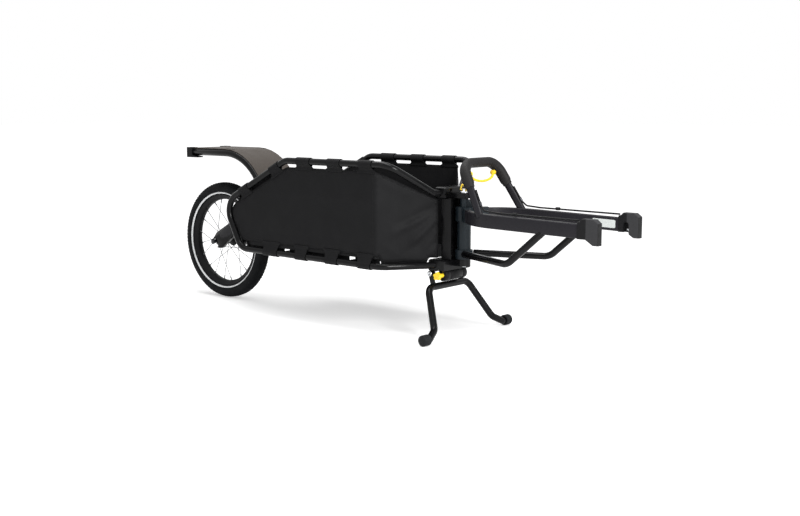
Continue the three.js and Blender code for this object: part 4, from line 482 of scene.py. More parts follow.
def keep_pair(piece, body, node, slot):
    """Keeps a left-hand piece and its mirrored copy, each for its own CAD node."""
    keep(mirrored(piece, piece.name.replace("left", "right")), body, node + "_right", slot=slot)
    keep(piece, body, node + "_left", slot=slot)


def keep_dressed(node, body, slot, material, edge, angle=32):
    """Dresses a CAD node, and keeps the copy in its place."""
    keep(dressed(node, material, edge, angle=angle), body, node, slot=slot)


def turned_pair(node, ending, profile, centre, material, steps, body, slot, edge=0):
    """The left and the right of a part that is turned round Y, each for its own CAD node."""
    for side, sign in (("left", 1), ("right", -1)):
        section = [(radius, sign * place) for radius, place in profile]
        piece = turned(f"{node}_{side}_{ending}", section, centre, "Y", material, steps)
        keep(soften(piece, edge) if edge else piece, body, f"{node}_{side}", slot=slot)


def joined(name, pieces):
    """One piece from several, each with its own material."""
    mesh = bmesh.new()
    materials = []
    for piece in pieces:
        start = len(mesh.faces)
        mesh.from_mesh(piece.data)
        mesh.faces.ensure_lookup_table()
        for face in mesh.faces[start:]:
            material = piece.data.materials[face.material_index]
            if material not in materials:
                materials.append(material)
            face.material_index = materials.index(material)
    whole = piece_from(mesh, name, materials[0], smooth=False)
    for material in materials[1:]:
        whole.data.materials.append(material)
    for piece in pieces:
        bpy.data.objects.remove(piece)
    return whole


# %% [markdown]
# ## Two small node trees
# Spokes and tread blocks repeat round the axle; stitches repeat along a seam. An Array modifier could
# repeat them too, but a Geometry Nodes tree has named inputs for its count and sizes. One tree turns
# copies of a part round the Y axis. It ends in Realize Instances and Set Material, so that the copies are
# real faces.


# %% Copies round an axis
def tree_with(name, inputs):
    """An empty tree with these inputs, and the identifiers by which a modifier's inputs are set."""
    tree = bpy.data.node_groups.new(name, "GeometryNodeTree")
    tree.interface.new_socket("Geometry", in_out="INPUT", socket_type="NodeSocketGeometry")
    sockets = {key: tree.interface.new_socket(key, in_out="INPUT", socket_type=kind)
               for key, kind in inputs.items()}
    tree.interface.new_socket("Geometry", in_out="OUTPUT", socket_type="NodeSocketGeometry")
    return tree, {key: socket.identifier for key, socket in sockets.items()}


def close_tree(tree, instances, source):
    """Makes the copies real faces and gives them the material."""
    real = add(tree, "GeometryNodeRealizeInstances", {}, {"Geometry": instances})
    painted = add(tree, "GeometryNodeSetMaterial", {}, {
        "Geometry": real.outputs[0], "Material": source.outputs["Material"]})
    add(tree, "NodeGroupOutput", {}, {0: painted.outputs[0]})


ring_tree, ring_inputs = tree_with("copies_round_an_axis", {
    "Count": "NodeSocketInt", "Centre": "NodeSocketVector", "Material": "NodeSocketMaterial"})
source = add(ring_tree, "NodeGroupInput")
part = add(ring_tree, "GeometryNodeTransform", {}, {
    "Geometry": source.outputs["Geometry"],
    "Translation": add(ring_tree, "ShaderNodeVectorMath", {"operation": "SCALE"},
                       {0: source.outputs["Centre"], "Scale": -1.0}).outputs[0]})
spots = add(ring_tree, "GeometryNodeMeshLine", {}, {
    "Count": source.outputs["Count"], "Offset": (0, 0, 0), "Start Location": source.outputs["Centre"]})
step = add(ring_tree, "ShaderNodeMath", {"operation": "DIVIDE"}, {0: 2 * math.pi, 1: source.outputs["Count"]})
turn = add(ring_tree, "ShaderNodeMath", {"operation": "MULTIPLY"},
           {0: add(ring_tree, "GeometryNodeInputIndex").outputs[0], 1: step.outputs[0]})
spin = add(ring_tree, "ShaderNodeCombineXYZ", {}, {"Y": turn.outputs[0]})
rotation = add(ring_tree, "FunctionNodeEulerToRotation", {}, {0: spin.outputs[0]})
copies = add(ring_tree, "GeometryNodeInstanceOnPoints", {}, {
    "Points": spots.outputs[0], "Instance": part.outputs[0], "Rotation": rotation.outputs[0]})
close_tree(ring_tree, copies.outputs[0], source)
print("ring tree nodes", len(ring_tree.nodes))

# %% [markdown]
# The other tree sets small six-sided bars along a line, at an even spacing. Each bar is one stitch of
# thread, so a whole seam is made from its line, its spacing and the thread's thickness.

# %% Copies along a line
seam_tree, seam_inputs = tree_with("copies_along_a_line", {
    "Spacing": "NodeSocketFloat", "Length": "NodeSocketFloat", "Thickness": "NodeSocketFloat",
    "Material": "NodeSocketMaterial"})
source = add(seam_tree, "NodeGroupInput")
curve = add(seam_tree, "GeometryNodeMeshToCurve", {}, {"Mesh": source.outputs["Geometry"]})
spots = add(seam_tree, "GeometryNodeCurveToPoints", {"mode": "LENGTH"}, {
    "Curve": curve.outputs[0], "Length": source.outputs["Spacing"]})
stitch = add(seam_tree, "GeometryNodeMeshCylinder", {}, {
    "Vertices": 6, "Radius": source.outputs["Thickness"], "Depth": source.outputs["Length"]})
aim = add(seam_tree, "FunctionNodeAlignRotationToVector", {"axis": "Z"}, {"Vector": spots.outputs["Tangent"]})
copies = add(seam_tree, "GeometryNodeInstanceOnPoints", {}, {
    "Points": spots.outputs["Points"], "Instance": stitch.outputs[0], "Rotation": aim.outputs[0]})
close_tree(seam_tree, copies.outputs[0], source)


def grown(piece, tree, inputs, values):
    """Runs a node tree on a piece with these input values, and keeps the result as a plain mesh."""
    modifier = piece.modifiers.new("growth", "NODES")
    modifier.node_group = tree
    for key, value in values.items():
        modifier[inputs[key]] = value
    bpy.context.view_layer.update()
    return applied(piece)


def ring_of(piece, count, centre, material):
    """Copies of a piece round an axis through the centre."""
    return grown(piece, ring_tree, ring_inputs, {
        "Count": count, "Centre": tuple(centre), "Material": material})


def stitched(name, lines, body, spacing=4.2, length=3.0, thickness=0.35):
    """Rows of stitches along lines of points."""
    points, edges = [], []
    for line in lines:
        start = len(points)
        points += [tuple(point) for point in line]
        edges += [(start + i, start + i + 1) for i in range(len(line) - 1)]
    mesh = bpy.data.meshes.new(name)
    mesh.from_pydata(points, edges, [])
    piece = bpy.data.objects.new(name, mesh)
    bpy.context.scene.collection.objects.link(piece)
    grown(piece, seam_tree, seam_inputs, {
        "Spacing": spacing * MM, "Length": length * MM, "Thickness": thickness * MM,
        "Material": stitch_thread})
    return keep(piece, body, slot="sling_fabric")


print("seam tree nodes", len(seam_tree.nodes))

# %% [markdown]
# ## Side hoops and cross tubes
# Each hoop is one aluminium tube, bent on a machine into a closed side: along the top, down round the rear
# knuckle and forward along the bottom. Its bends are true arcs here, with a soft edge at each cut end.

# %% Hoops
HOOP_SIDE, HOOP_RADIUS, TOP_RAIL = 195, 10, 497
KNUCKLE, SLANT_TOP = (213.5, 353.5), (490, TOP_RAIL)
RAIL_REAR, RAIL_FRONT = (287, 213), (870, 206)
HOOP = [(973, 38, 414), (960, 64, 414, 24), (900, HOOP_SIDE, TOP_RAIL, 50),
        (SLANT_TOP[0], HOOP_SIDE, SLANT_TOP[1], 58), (KNUCKLE[0], HOOP_SIDE, KNUCKLE[1], 60),
        (RAIL_REAR[0], HOOP_SIDE, RAIL_REAR[1], 45), (RAIL_FRONT[0], HOOP_SIDE, RAIL_FRONT[1], 50),
        (972, 45, 205)]
hoop = tube("side_hoop_left_tube", bent_line(HOOP), HOOP_RADIUS, powder_coat, 32)
keep_pair(hoop, "frame", "side_hoop", "frame_paint")
print("hoop faces", len(hoop.data.polygons))

# %% [markdown]
# Straight tubes join the hoops: two under the floor, one for the swing arm's pivot and one at the rear
# with the spring's bracket. Their places follow the slopes of the rails that they are welded to.


# %% Cross tubes
def slope(low, high):
    """Rise for each millimetre of run between two places (station, height)."""
    return (high[1] - low[1]) / (high[0] - low[0])


REAR_SLOPE = slope(KNUCKLE, SLANT_TOP)
RAIL_SLOPE = slope(RAIL_REAR, RAIL_FRONT)
PIVOT_STATION, PIVOT_HEIGHT = 236, 330


def rail_height(station):
    return RAIL_REAR[1] + (station - RAIL_REAR[0]) * RAIL_SLOPE


def slant_height(station):
    return KNUCKLE[1] + (station - KNUCKLE[0]) * REAR_SLOPE


for node, station in (("floor_cross_tube_front", 750), ("floor_cross_tube_rear", 480)):
    line = [at(station, side, rail_height(station)) for side in (-188, 188)]
    keep(tube(node + "_bar", line, 9, powder_coat), "frame", node, slot="frame_paint")
line = [at(PIVOT_STATION, side, PIVOT_HEIGHT) for side in (-187, 187)]
keep(tube("pivot_tube_bar", line, 12, powder_coat), "frame", "pivot_tube", slot="frame_paint")
keep_dressed("rear_cross_tube", "frame", "frame_paint", powder_coat, 0.8)
print("bottom rail falls", RAIL_REAR[1] - RAIL_FRONT[1], "mm to the front")

# %% [markdown]
# The fender is a moulded plate on two bent tubes, with a black moulded tail piece. The CAD shapes of the
# plate and the tail are right, so they are only dressed; the tubes are made anew, to have true bends.

# %% Fender
FENDER_LINE = [(-84, 75, 505), (178, 75, 505, 185), (263, 75, 392)]
fender = tube("fender_tube_left_bar", bent_line(FENDER_LINE, 20), 11.5, powder_coat)
keep_pair(fender, "frame", "fender_tube", "frame_paint")
keep_dressed("fender_plate", "frame", "fender_plastic", fender_sheet, 0.5, 24)
keep_dressed("fender_tail", "frame", "black_plastic", black_nylon, 1.6)
print("fender tube faces", len(fender.data.polygons))

# %% [markdown]
# ## The wheel
# The tyre is turned from its real section: a round crown, walls, beads, and a hollow inside. Its tread is
# rows of small blocks. One block of each row is made at the top of the wheel, leaning with the crown, and
# the ring tree copies the group round the axle.

# %% Tyre
AXLE = Vector((-AXLE_TO_MIDDLE, 0, 200))
outside = [(198.4, 3.0), (198.0, 7.5), (196.4, 12.0), (193.0, 16.5), (188.2, 20.2), (182, 22.6), (175, 23.4),
           (168, 21.8), (161, 17.6), (156.4, 14.2), (153.2, 12.2)]
inside = [(153.2, 10.2), (157.6, 11.2), (163, 15.0), (170, 18.4), (177, 19.6), (184, 18.2), (190, 14.4),
          (193.6, 8.5), (194.8, 3)]
casing = turned("tyre_casing", half_section(outside + inside), AXLE, "Y", tyre_rubber, 144)
TREAD_TURNS = 96
TREAD_PITCH = 2 * math.pi / TREAD_TURNS
BLOCK_DEPTH = 3.4
# side, lead as a share of the pitch, width, length, and height of the top over the axle
TREAD_ROWS = [(0, 0, 4.4, 8.6, 199.6), (6.6, 0.5, 4.0, 7.4, 199.2), (12.2, 0.1, 4.2, 8.4, 197.2),
              (17.0, 0.6, 3.6, 8.0, 193.2)]
TO_AXLE = Matrix.Translation(AXLE * MM) @ Matrix.Scale(MM, 4)
blocks = bmesh.new()
for row_side, lead, width, length, top in TREAD_ROWS:
    for sign in ((1, -1) if row_side else (1,)):
        lean = -sign * max(row_side - 5, 0) * 0.062
        twist = sign * 0.25 if row_side else 0
        place = (Matrix.Rotation(lead * TREAD_PITCH, 4, "Y")
                 @ Matrix.Translation((0, sign * row_side, top - BLOCK_DEPTH / 2))
                 @ Matrix.Rotation(lean, 4, "X") @ Matrix.Rotation(twist, 4, "Z")
                 @ Matrix.Diagonal((length, width, BLOCK_DEPTH, 1)))
        bmesh.ops.create_cube(blocks, size=1, matrix=TO_AXLE @ place)
block_group = soften(piece_from(blocks, "tyre_tread", tyre_rubber, smooth=False), 0.4, 1)
tread = ring_of(block_group, TREAD_TURNS, AXLE * MM, tyre_rubber)
tyre = keep(joined("tyre_with_tread", [casing, tread]), "wheel", "tyre", slot="tyre_rubber")
print("tyre faces", len(tyre.data.polygons))

# %% [markdown]
# A stripe of white tape is bonded to each sidewall, and the rim is one aluminium extrusion rolled into a
# ring. Both are turned from their sections. The rim's section has a well in the middle and a hooked edge
# on each side.

# %% Stripes and rim
stripe = [(166.4, 20.5), (166.2, 21.35), (161.5, 18.55), (161.2, 17.5), (163.8, 18.95)]
turned_pair("tyre_stripe", "band", stripe, AXLE, reflective_tape, 144, "wheel", "reflective_tape")
rim_outside = [(158, 13.4), (157.2, 15.3), (155, 15.5), (153.4, 13.9), (149.6, 13.4), (145.8, 11.6),
               (142.2, 7.6), (141.1, 3.0)]
rim_bed = [(145.4, -3), (146.0, -7.4), (150.4, -9.6), (156.8, -11.6)]
rim = turned("rim_extrusion", half_section(rim_outside) + half_section(rim_bed), AXLE, "Y", rim_anodised, 144)
keep(rim, "wheel", "rim", slot="rim_paint")
keep_dressed("inner_tube", "wheel", "tube_rubber", tube_rubber, 0.3)
print("rim faces", len(rim.data.polygons))

# %% [markdown]
# Ten thin steel spokes a side run from the hub's flange to the rim, in pairs that cross near the hub.
# Each has a thicker nipple at the rim and an elbow in the flange. One pair is built from short bars, and
# the ring tree copies it five times.

# %% Spokes
SPOKES = 10
LEAD = math.radians(24)


def wheel_place(radius, turn, side):
    """A place on the wheel; a turn of 0 is its top."""
    return (AXLE + Vector((radius * math.sin(turn), side, radius * math.cos(turn)))) * MM


for node, side, start in (("spokes_left", 1, math.radians(9)), ("spokes_right", -1, math.radians(-9))):
    strands = []
    for lead, flange, step in ((LEAD, 29.4, 0), (-LEAD, 26.6, 1)):
        rim_turn = start + step * math.radians(36)
        foot = wheel_place(21, rim_turn - lead * 3.1, side * flange)
        tip = wheel_place(141, rim_turn, side * 3)
        nipple = [tip + (foot - tip).normalized() * 12 * MM, tip]
        elbow = [foot + Vector((0, 1.4, 0)) * side * MM, foot - Vector((0, 2.6, 0)) * side * MM]
        strands.append(tube(node + "_wire", [foot, tip], 1.0, spoke_steel, 10, 0.3))
        strands.append(tube(node + "_nipple", nipple, 1.9, spoke_steel, 10, 0.5))
        strands.append(tube(node + "_elbow", elbow, 1.4, spoke_steel, 10, 0.4))
    pair = joined(node + "_strands", strands)
    keep(ring_of(pair, SPOKES // 2, AXLE * MM, spoke_steel), "wheel", node, slot="spoke_steel")
    print(node, "faces", len(pair.data.polygons))

# %% [markdown]
# The hub shell is turned from bar, with a flange for each set of spokes. A bearing sits in each end.

# %% Hub
hub_outside = [(11, 35.5), (12.6, 36.8), (16.4, 36.8), (17.4, 35.8), (17.6, 29), (22.4, 28.2), (23, 27.4),
               (23, 24.8), (22.4, 24), (17.6, 23.6), (15.2, 20), (14.6, 6)]
hub_bore = [(6.6, -35.5), (6.6, 35.5)]
hub = turned("hub_barrel", half_section(hub_outside) + hub_bore, AXLE, "Y", rim_anodised, 72)
keep(hub, "wheel", "hub_shell", slot="rim_paint")
bearing = [(6.7, 29.6), (6.7, 36.6), (12.4, 36.6), (12.4, 29.6)]
turned_pair("hub_bearing", "ring", bearing, AXLE, spring_steel, 48, "wheel", "dark_steel", 0.4)
print("hub faces", len(hub.data.polygons))

# %% [markdown]
# ## The swing arm
# Each arm is a flat bar, cut from plate: a dropout at the axle, an eye at the pivot and a hump for the
# spring's bridge. Its outline is rounded where a cutter would round it, and both faces have soft edges.


# %% Plates
def rounded_outline(corners, steps=6):
    """A closed outline (station, height) with its corners (x, z, radius) made round."""
    points = []
    for i, (x, z, radius) in enumerate(corners):
        here = Vector((x, z))
        back = Vector(corners[i - 1][:2]) - here
        onward = Vector(corners[(i + 1) % len(corners)][:2]) - here
        half = back.angle(onward) / 2
        reach = min(radius / math.tan(half), back.length * 0.48, onward.length * 0.48) if radius else 0
        if reach <= 0.01:
            points.append(here)
            continue
        start, end = here + back.normalized() * reach, here + onward.normalized() * reach
        for step in range(steps + 1):
            t = step / steps
            points.append(start * (1 - t) ** 2 + here * 2 * t * (1 - t) + end * t ** 2)
    return points


def slab(name, outline, low, high, material, edge=0.8):
    """A plate with this outline (station, height), thick along Y from low to high."""
    mesh = bmesh.new()
    near = [mesh.verts.new(at(point[0], low, point[1])) for point in outline]
    far = [mesh.verts.new(at(point[0], high, point[1])) for point in outline]
    mesh.faces.new(near)
    mesh.faces.new(list(reversed(far)))
    for i in range(len(outline)):
        j = (i + 1) % len(outline)
        mesh.faces.new((near[i], far[i], far[j], near[j]))
    bmesh.ops.recalc_face_normals(mesh, faces=mesh.faces)
    return soften(piece_from(mesh, name, material), edge, 2, 30)


print("points of a rounded square", len(rounded_outline([(0, 0, 2), (9, 0, 2), (9, 9, 2), (0, 9, 2)])))

# %% [markdown]
# The arm's long edges run parallel, 46 mm apart, so they are worked out from its middle line. A grey moulded
# strip lies on its outer face. The bridge between the arms carries the spring's lower cup.

# %% Swing arm
ARM_KNEE = (83, 244)
ARM_SLOPE = slope(ARM_KNEE, (PIVOT_STATION, PIVOT_HEIGHT))
ARM_TURN = math.atan(ARM_SLOPE)
HALF_ARM, EYE = 23, 27


def arm_edge(station, side):
    """Height of the arm's upper (1) or lower (-1) edge."""
    return ARM_KNEE[1] + (station - ARM_KNEE[0]) * ARM_SLOPE + side * HALF_ARM / math.cos(ARM_TURN)


arm_outline = rounded_outline([(-13, 200, 5), (15, arm_edge(15, 1), 14), (140, arm_edge(140, 1), 10),
                               (152, 354, 3), (158, 360, 3), (186, 360, 3), (192, 354, 4)])
eye = [ARM_TURN + math.pi / 2 - step * math.pi / 24 for step in range(25)]
arm_outline += [Vector((PIVOT_STATION + EYE * math.cos(turn), PIVOT_HEIGHT + EYE * math.sin(turn)))
                for turn in eye]
arm_outline += rounded_outline([(92, arm_edge(92, -1), 12), (60, 200, 8), (36, 179, 6), (9, 179, 8)])
plate = slab("swing_arm_left_plate", arm_outline, 44, 60, powder_coat, 1.2)
strip_outline = rounded_outline([(28, arm_edge(28, 1) - 9, 5), (126, arm_edge(126, 1) - 9, 5),
                                 (126, arm_edge(126, -1) + 11, 5), (74, arm_edge(74, -1) + 10, 5),
                                 (36, 214, 5)])
strip = slab("swing_arm_left_strip", strip_outline, 59.6, 61.2, block_nylon, 0.5)
arm = joined("swing_arm_left_whole", [plate, strip])
keep_pair(arm, "swing_arm", "swing_arm", "frame_paint")
keep_dressed("swing_arm_bridge", "swing_arm", "frame_paint", powder_coat, 0.8, 36)
print("arm faces", len(arm.data.polygons))

# %% [markdown]
# The arms turn on a barrel, which runs on two flanged bushes of sintered bronze. The wheel's axle is a
# long bolt with its head on the left, two collars against the arms' inner faces, and a nut on the right.

# %% Pivot and axle
PIVOT = Vector((PIVOT_STATION - AXLE_TO_MIDDLE, 0, PIVOT_HEIGHT))
barrel = half_section([(14, -63.4), (14.6, -64), (18.2, -64), (19, -63.2)])
keep(turned("swing_arm_barrel_tube", barrel, PIVOT, "Y", powder_coat, 48), "swing_arm", "swing_arm_barrel",
     slot="frame_paint")
bush = [(12.4, 40.3), (13.7, 40.3), (13.7, 64.3), (17.6, 64.3), (18, 64.7), (18, 65.9), (17.6, 66.3),
        (12.4, 66.3)]
turned_pair("pivot_bush", "ring", bush, PIVOT, sintered_bronze, 40, "swing_arm", "bush_bronze")
axle_profile = [(0, -67.8), (5.2, -67.8), (6, -67), (6, -43.7), (9, -43.7), (9, -37.3), (6, -37.3), (6, 37.3),
                (9, 37.3), (9, 43.7), (6, 43.7), (6, 60.3), (9.4, 60.3), (10, 60.9), (10, 64.6), (8.6, 66.3),
                (3.4, 66.3), (3, 64.4), (0, 64.4)]
axle = turned("wheel_axle_bar", axle_profile, AXLE, "Y", spring_steel, 40)
keep(axle, "swing_arm", "wheel_axle", slot="bolt_steel")
keep_dressed("axle_nut", "swing_arm", "bolt_steel", spring_steel, 0.6, 40)
print("axle faces", len(axle.data.polygons))

# %% [markdown]
# The spring is wound from round wire, in a little more than six curls between the bridge and the bracket.
# Its ends are closed and ground flat, so the coil flattens at both. A posed body moves as one rigid
# thing, so the lower half goes with the arm and the upper half stays with the bracket: neither end then
# cuts into metal.

# %% Spring
CURLS, CURL_STEPS, WIRE, COIL = 6.4, 36, 3.0, 17.0
SPRING_STATION, SPRING_LOW, SPRING_HIGH = 172, 366.4, 436.6
FLAT_END = 0.09
spring_line = []
for step in range(int(CURLS * CURL_STEPS) + 1):
    share = step / (CURLS * CURL_STEPS)
    eased = min(max((share - FLAT_END) / (1 - 2 * FLAT_END), 0), 1)
    lift = SPRING_LOW + (SPRING_HIGH - SPRING_LOW) * (eased * 0.9 + share * 0.1)
    turn = 2 * math.pi * share * CURLS
    spring_line.append(at(SPRING_STATION + COIL * math.cos(turn), COIL * math.sin(turn), lift))
middle = len(spring_line) // 2
lower_curls = tube("suspension_spring_lower", spring_line[:middle + 1], WIRE, spring_steel, 12, 0.4)
upper_curls = tube("suspension_spring_upper", spring_line[middle:], WIRE, spring_steel, 12, 0.4)
keep(lower_curls, "swing_arm", "suspension_spring", slot="dark_steel")
keep(upper_curls, "frame", slot="dark_steel")
print("spring wire", round(sum((b - a).length for a, b in zip(spring_line, spring_line[1:])), 3), "m long")

# %% [markdown]
# ## The head of the frame
# Two machined brackets hold the hoops' ends, with a pressed channel between them. The yoke turns in front of
# it on a kingpin, which lifts out by its yellow loop. The lock barrel and its knob sit under the lower one.

# %% Head brackets
for node in ("upper_head_bracket", "lower_head_bracket"):
    keep_dressed(node, "frame", "frame_paint", powder_coat, 1.4, 36)
keep_dressed("head_post", "frame", "frame_paint", powder_coat, 1.0)

BARREL = Vector((981 - AXLE_TO_MIDDLE, 0, 176))
lock_profile = half_section([(0, 50), (15.4, 50), (17, 48.4), (17, 31), (16.2, 30.4), (16.2, 29.6), (17, 29)])
lock = turned("lock_barrel_turned", lock_profile, BARREL, "Y", black_nylon, 64)
keep(lock, "frame", "kickstand_lock_barrel", slot="black_plastic")
KICK_STATION, KICK_HEIGHT = 953, 181
KICK_PIVOT = Vector((KICK_STATION - AXLE_TO_MIDDLE, 0, KICK_HEIGHT))
bolt = [(0, 57), (4.4, 57), (5, 57.6), (5, 70.6), (7.6, 70.6), (8, 71), (8, 74.6), (6, 76.6), (2.8, 76.6),
        (2.6, 74.2), (0, 74.2)]
turned_pair("kickstand_bolt", "turned", bolt, KICK_PIVOT, plated_steel, 36, "frame", "bolt_steel")
print("lock barrel faces", len(lock.data.polygons))

# %% [markdown]
# ## The kickstand
# The stand is one tube, bent down on each side to a foot and held by two flat ears on the pivot bolts. An
# ear is a plate with a half circle round its bolt. The feet are turned, with five ribs moulded into each
# for grip.

# %% Kickstand
FOOT_STATION, FOOT_HEIGHT = 1036, 16
leg = [(FOOT_STATION, 203, 16), (FOOT_STATION, 178, 16, 12), (1024, 141, 34, 30), (964, 93, 143, 30)]
other_leg = [(corner[0], -corner[1], *corner[2:]) for corner in reversed(leg)]
parts = [tube("kickstand_bent_tube", bent_line(leg + other_leg), 10.5, powder_coat, 32)]
EAR_RADIUS, EAR_THICKNESS = 8, 5
ear_foot, ear_eye = Vector((964, 143)), Vector((KICK_STATION, KICK_HEIGHT))
down = (ear_foot - ear_eye).normalized()
wide = Vector((-down.y, down.x)) * EAR_RADIUS
turns = [math.atan2(wide.y, wide.x) + math.pi * step / 14 for step in range(15)]
arc = [ear_eye + Vector((math.cos(turn), math.sin(turn))) * EAR_RADIUS for turn in turns]
for low in (65.3, -65.3 - EAR_THICKNESS):
    parts.append(slab("kickstand_ear", arc + [ear_foot - wide, ear_foot + wide], low, low + EAR_THICKNESS,
                      powder_coat, 0.7))
stand = keep(joined("kickstand_whole", parts), "kickstand", "kickstand_tube", slot="frame_paint")

FOOT = Vector((FOOT_STATION - AXLE_TO_MIDDLE, 0, FOOT_HEIGHT))
foot = [(10.9, 186.4), (11.4, 186), (13.6, 186), (15.6, 187.2)]
for rib in range(5):
    place = 189 + rib * 3.6
    foot += [(15.9, place), (15.9, place + 2.0), (15.0, place + 2.5), (15.0, place + 3.1)]
foot += [(15.9, 208), (15.4, 210.4), (12.6, 212.8), (8, 213.9), (3, 214.6), (0, 214.7), (0, 203.6),
         (10.9, 203.6)]
turned_pair("kickstand_foot", "moulded", foot, FOOT, foot_rubber, 56, "kickstand", "foot_rubber")
keep_dressed("kickstand_knob", "kickstand_knob", "yellow_plastic", yellow_nylon, 1.0, 40)
print("kickstand faces", len(stand.data.polygons))

# %% [markdown]
# ## The kingpin
# The yoke hangs on one plated steel pin with a flange near its top. It is turned round the upright axis. The
# yellow loop that pulls it out keeps its CAD shape and gets soft edges.

# %% Kingpin
KINGPIN = Vector((HEAD_STATION - AXLE_TO_MIDDLE, 0, 0))
pin_profile = [(0, 199), (5.6, 199), (8, 201.4), (8, 413), (11.4, 413.2), (12, 413.8), (12, 417.6),
               (11.2, 418.4), (6, 418.4), (6, 425.5), (5.2, 426.3), (0, 426.3)]
pin = turned("kingpin_turned", pin_profile, KINGPIN, "Z", plated_steel, 48)
keep(pin, "kingpin", "kingpin", slot="bolt_steel")
keep_dressed("kingpin_loop", "kingpin", "yellow_plastic", yellow_nylon, 0.5, 60)
print("kingpin faces", len(pin.data.polygons))

# %% [markdown]
# ## The yoke
# Two extruded bars with rounded corners leave the welded head, bend forward and end in the hitch blocks.
# A bar's outline is carried along its bent line as a tube's is, with its height held upright all the way.

# %% Yoke arms
ARM_SIDE, ARM_TOP, ARM_FALL, FALL_START = 107.5, 353, 0.0219, 77


def head_at(reach, side, height):
    """A place measured forward from the kingpin."""
    return at(HEAD_STATION + reach, side, height)


def bar_section(height, width, corner=3.4):
    """A rectangle with rounded corners: its first direction is the height."""
    points = []
    for turn, sign_x, sign_y in ((0, 1, 1), (1, -1, 1), (2, -1, -1), (3, 1, -1)):
        centre = Vector((sign_x * (height / 2 - corner), sign_y * (width / 2 - corner)))
        for step in range(5):
            angle = math.pi / 2 * (turn + step / 4)
            spot = centre + Vector((math.cos(angle), math.sin(angle))) * corner
            points.append((spot.x * MM, spot.y * MM))
    return points


def arm_height(reach):
    """Height of the arm's middle: level at the head, then falling a little towards the hitch."""
    return ARM_TOP - ARM_FALL * max(0, reach - FALL_START)


turn_line = bent_line([(HEAD_STATION + 34, 34, ARM_TOP), (HEAD_STATION + ARM_SIDE, ARM_SIDE, ARM_TOP, 150),
                       (HEAD_STATION + 456, ARM_SIDE, ARM_TOP)], 24)
arm_line = [Vector((point.x, point.y, arm_height(point.x / MM + AXLE_TO_MIDDLE - HEAD_STATION) * MM))
            for point in turn_line]
sizes = [0.93, 0.98] + [1.0] * len(arm_line) + [0.98, 0.93]
points, faces = skin(soft_ends(arm_line, 1.0), bar_section(38, 17), sizes, Vector((0, 0, 1)))
keep_dressed("yoke_head", "yoke", "graphite_paint", head_coat, 1.0, 36)
bar = new_piece("yoke_arm_left_bar", points, faces, graphite_paint)
keep_pair(bar, "yoke", "yoke_arm", "graphite_paint")
print("yoke arm faces", len(bar.data.polygons))

# %% [markdown]
# A pale plate of reflector film sits on the inner face of the left arm. Below the arms, a round strut on
# each side braces the head, and two bronze bushes let the yoke turn on the kingpin.

# %% Reflector and braces
patch_corners = [(364, -11), (364, 11), (434, 11), (434, -11)]
patch_outline = rounded_outline([(HEAD_STATION + reach, arm_height(reach) + rise, 4)
                                 for reach, rise in patch_corners])
keep(slab("inner_reflector", patch_outline, 98.5, 99.1, reflector_film, 0.15), "yoke", slot="reflective_tape")
brace_line = bent_line([(HEAD_STATION + 18, 23.4, 239.8), (HEAD_STATION + 223, ARM_SIDE, 238, 42),
                        (HEAD_STATION + 334, ARM_SIDE, 333)], 16)
brace = tube("lower_brace_left_bar", brace_line, 10, powder_coat, 28)
keep_pair(brace, "yoke", "lower_brace", "graphite_paint")
for node in ("yoke_bush_lower", "yoke_bush_upper"):
    keep_dressed(node, "yoke", "bush_bronze", sintered_bronze, 0.3)
print("brace faces", len(brace.data.polygons))

# %% [markdown]
# ## Handle and grip
# The handle is an oval tube, bent into an arch over both arms. Its centre line can be asked for from any
# height up, so the foam grip follows the same line further along. The foam is drawn in at each end by a
# tight cuff, which a list of places and sizes describes.

# %% Handle and grip
HANDLE_FOOT, HANDLE_TOP = 371, 503
FOOT_REACH, TOP_REACH, FOOT_SIDE, TOP_SIDE = 126, 50, 104, 79


def handle_at(height):
    """The leg's station and side at a height."""
    rise = (height - HANDLE_FOOT) / (HANDLE_TOP - HANDLE_FOOT)
    station = HEAD_STATION + FOOT_REACH - (FOOT_REACH - TOP_REACH) * rise
    return [station, FOOT_SIDE - (FOOT_SIDE - TOP_SIDE) * rise, height]


def handle_line(height, steps=14):
    """The handle's centre line, from this height on one leg to this height on the other."""
    left = handle_at(height)
    corner = [HEAD_STATION + TOP_REACH, TOP_SIDE, HANDLE_TOP, 46]
    return bent_line([left, corner, [corner[0], -corner[1], *corner[2:]], [left[0], -left[1], height]], steps)


leg_line = (Vector(handle_at(HANDLE_TOP)) - Vector(handle_at(HANDLE_FOOT))).normalized()
handle_normal = leg_line.cross(Vector((0, 1, 0))).normalized()
handle = tube("handle_bent_tube", handle_line(360), 12, graphite_paint, 32, 0.8, 8, handle_normal)
keep(handle, "yoke", "handle_tube", slot="graphite_paint")
grip_line = handle_line(437)
grip_start = (grip_line[0] - grip_line[1]).normalized()
grip_end = (grip_line[-1] - grip_line[-2]).normalized()
CUFF = [(0, 0.72), (0.6, 0.80), (2.2, 0.84), (7.5, 0.85), (8.6, 0.88), (11, 0.955), (15, 0.99)]
places, cuff_sizes = [place for place, size in CUFF], [size for place, size in CUFF]
sleeve = [grip_line[0] - grip_start * place * MM for place in places] + grip_line[1:-1]
sleeve += [grip_line[-1] - grip_end * place * MM for place in reversed(places)]
sizes = cuff_sizes + [1.0] * (len(grip_line) - 2) + cuff_sizes[::-1]
points, faces = skin(sleeve, oval(17, 13.5, 40), sizes, handle_normal)
grip = keep(new_piece("foam_grip_sleeve", points, faces, grip_foam), "yoke", "handle_grip", slot="grip_foam")
print("grip line", round(sum((b - a).length for a, b in zip(grip_line, grip_line[1:])), 3), "m long")

# %% [markdown]
# The release bail under the grip is a yellow bow between two hubs, each on a steel pin in the handle's
# leg. It is a half circle of wire, seen from the front, that also leans forward in its middle.

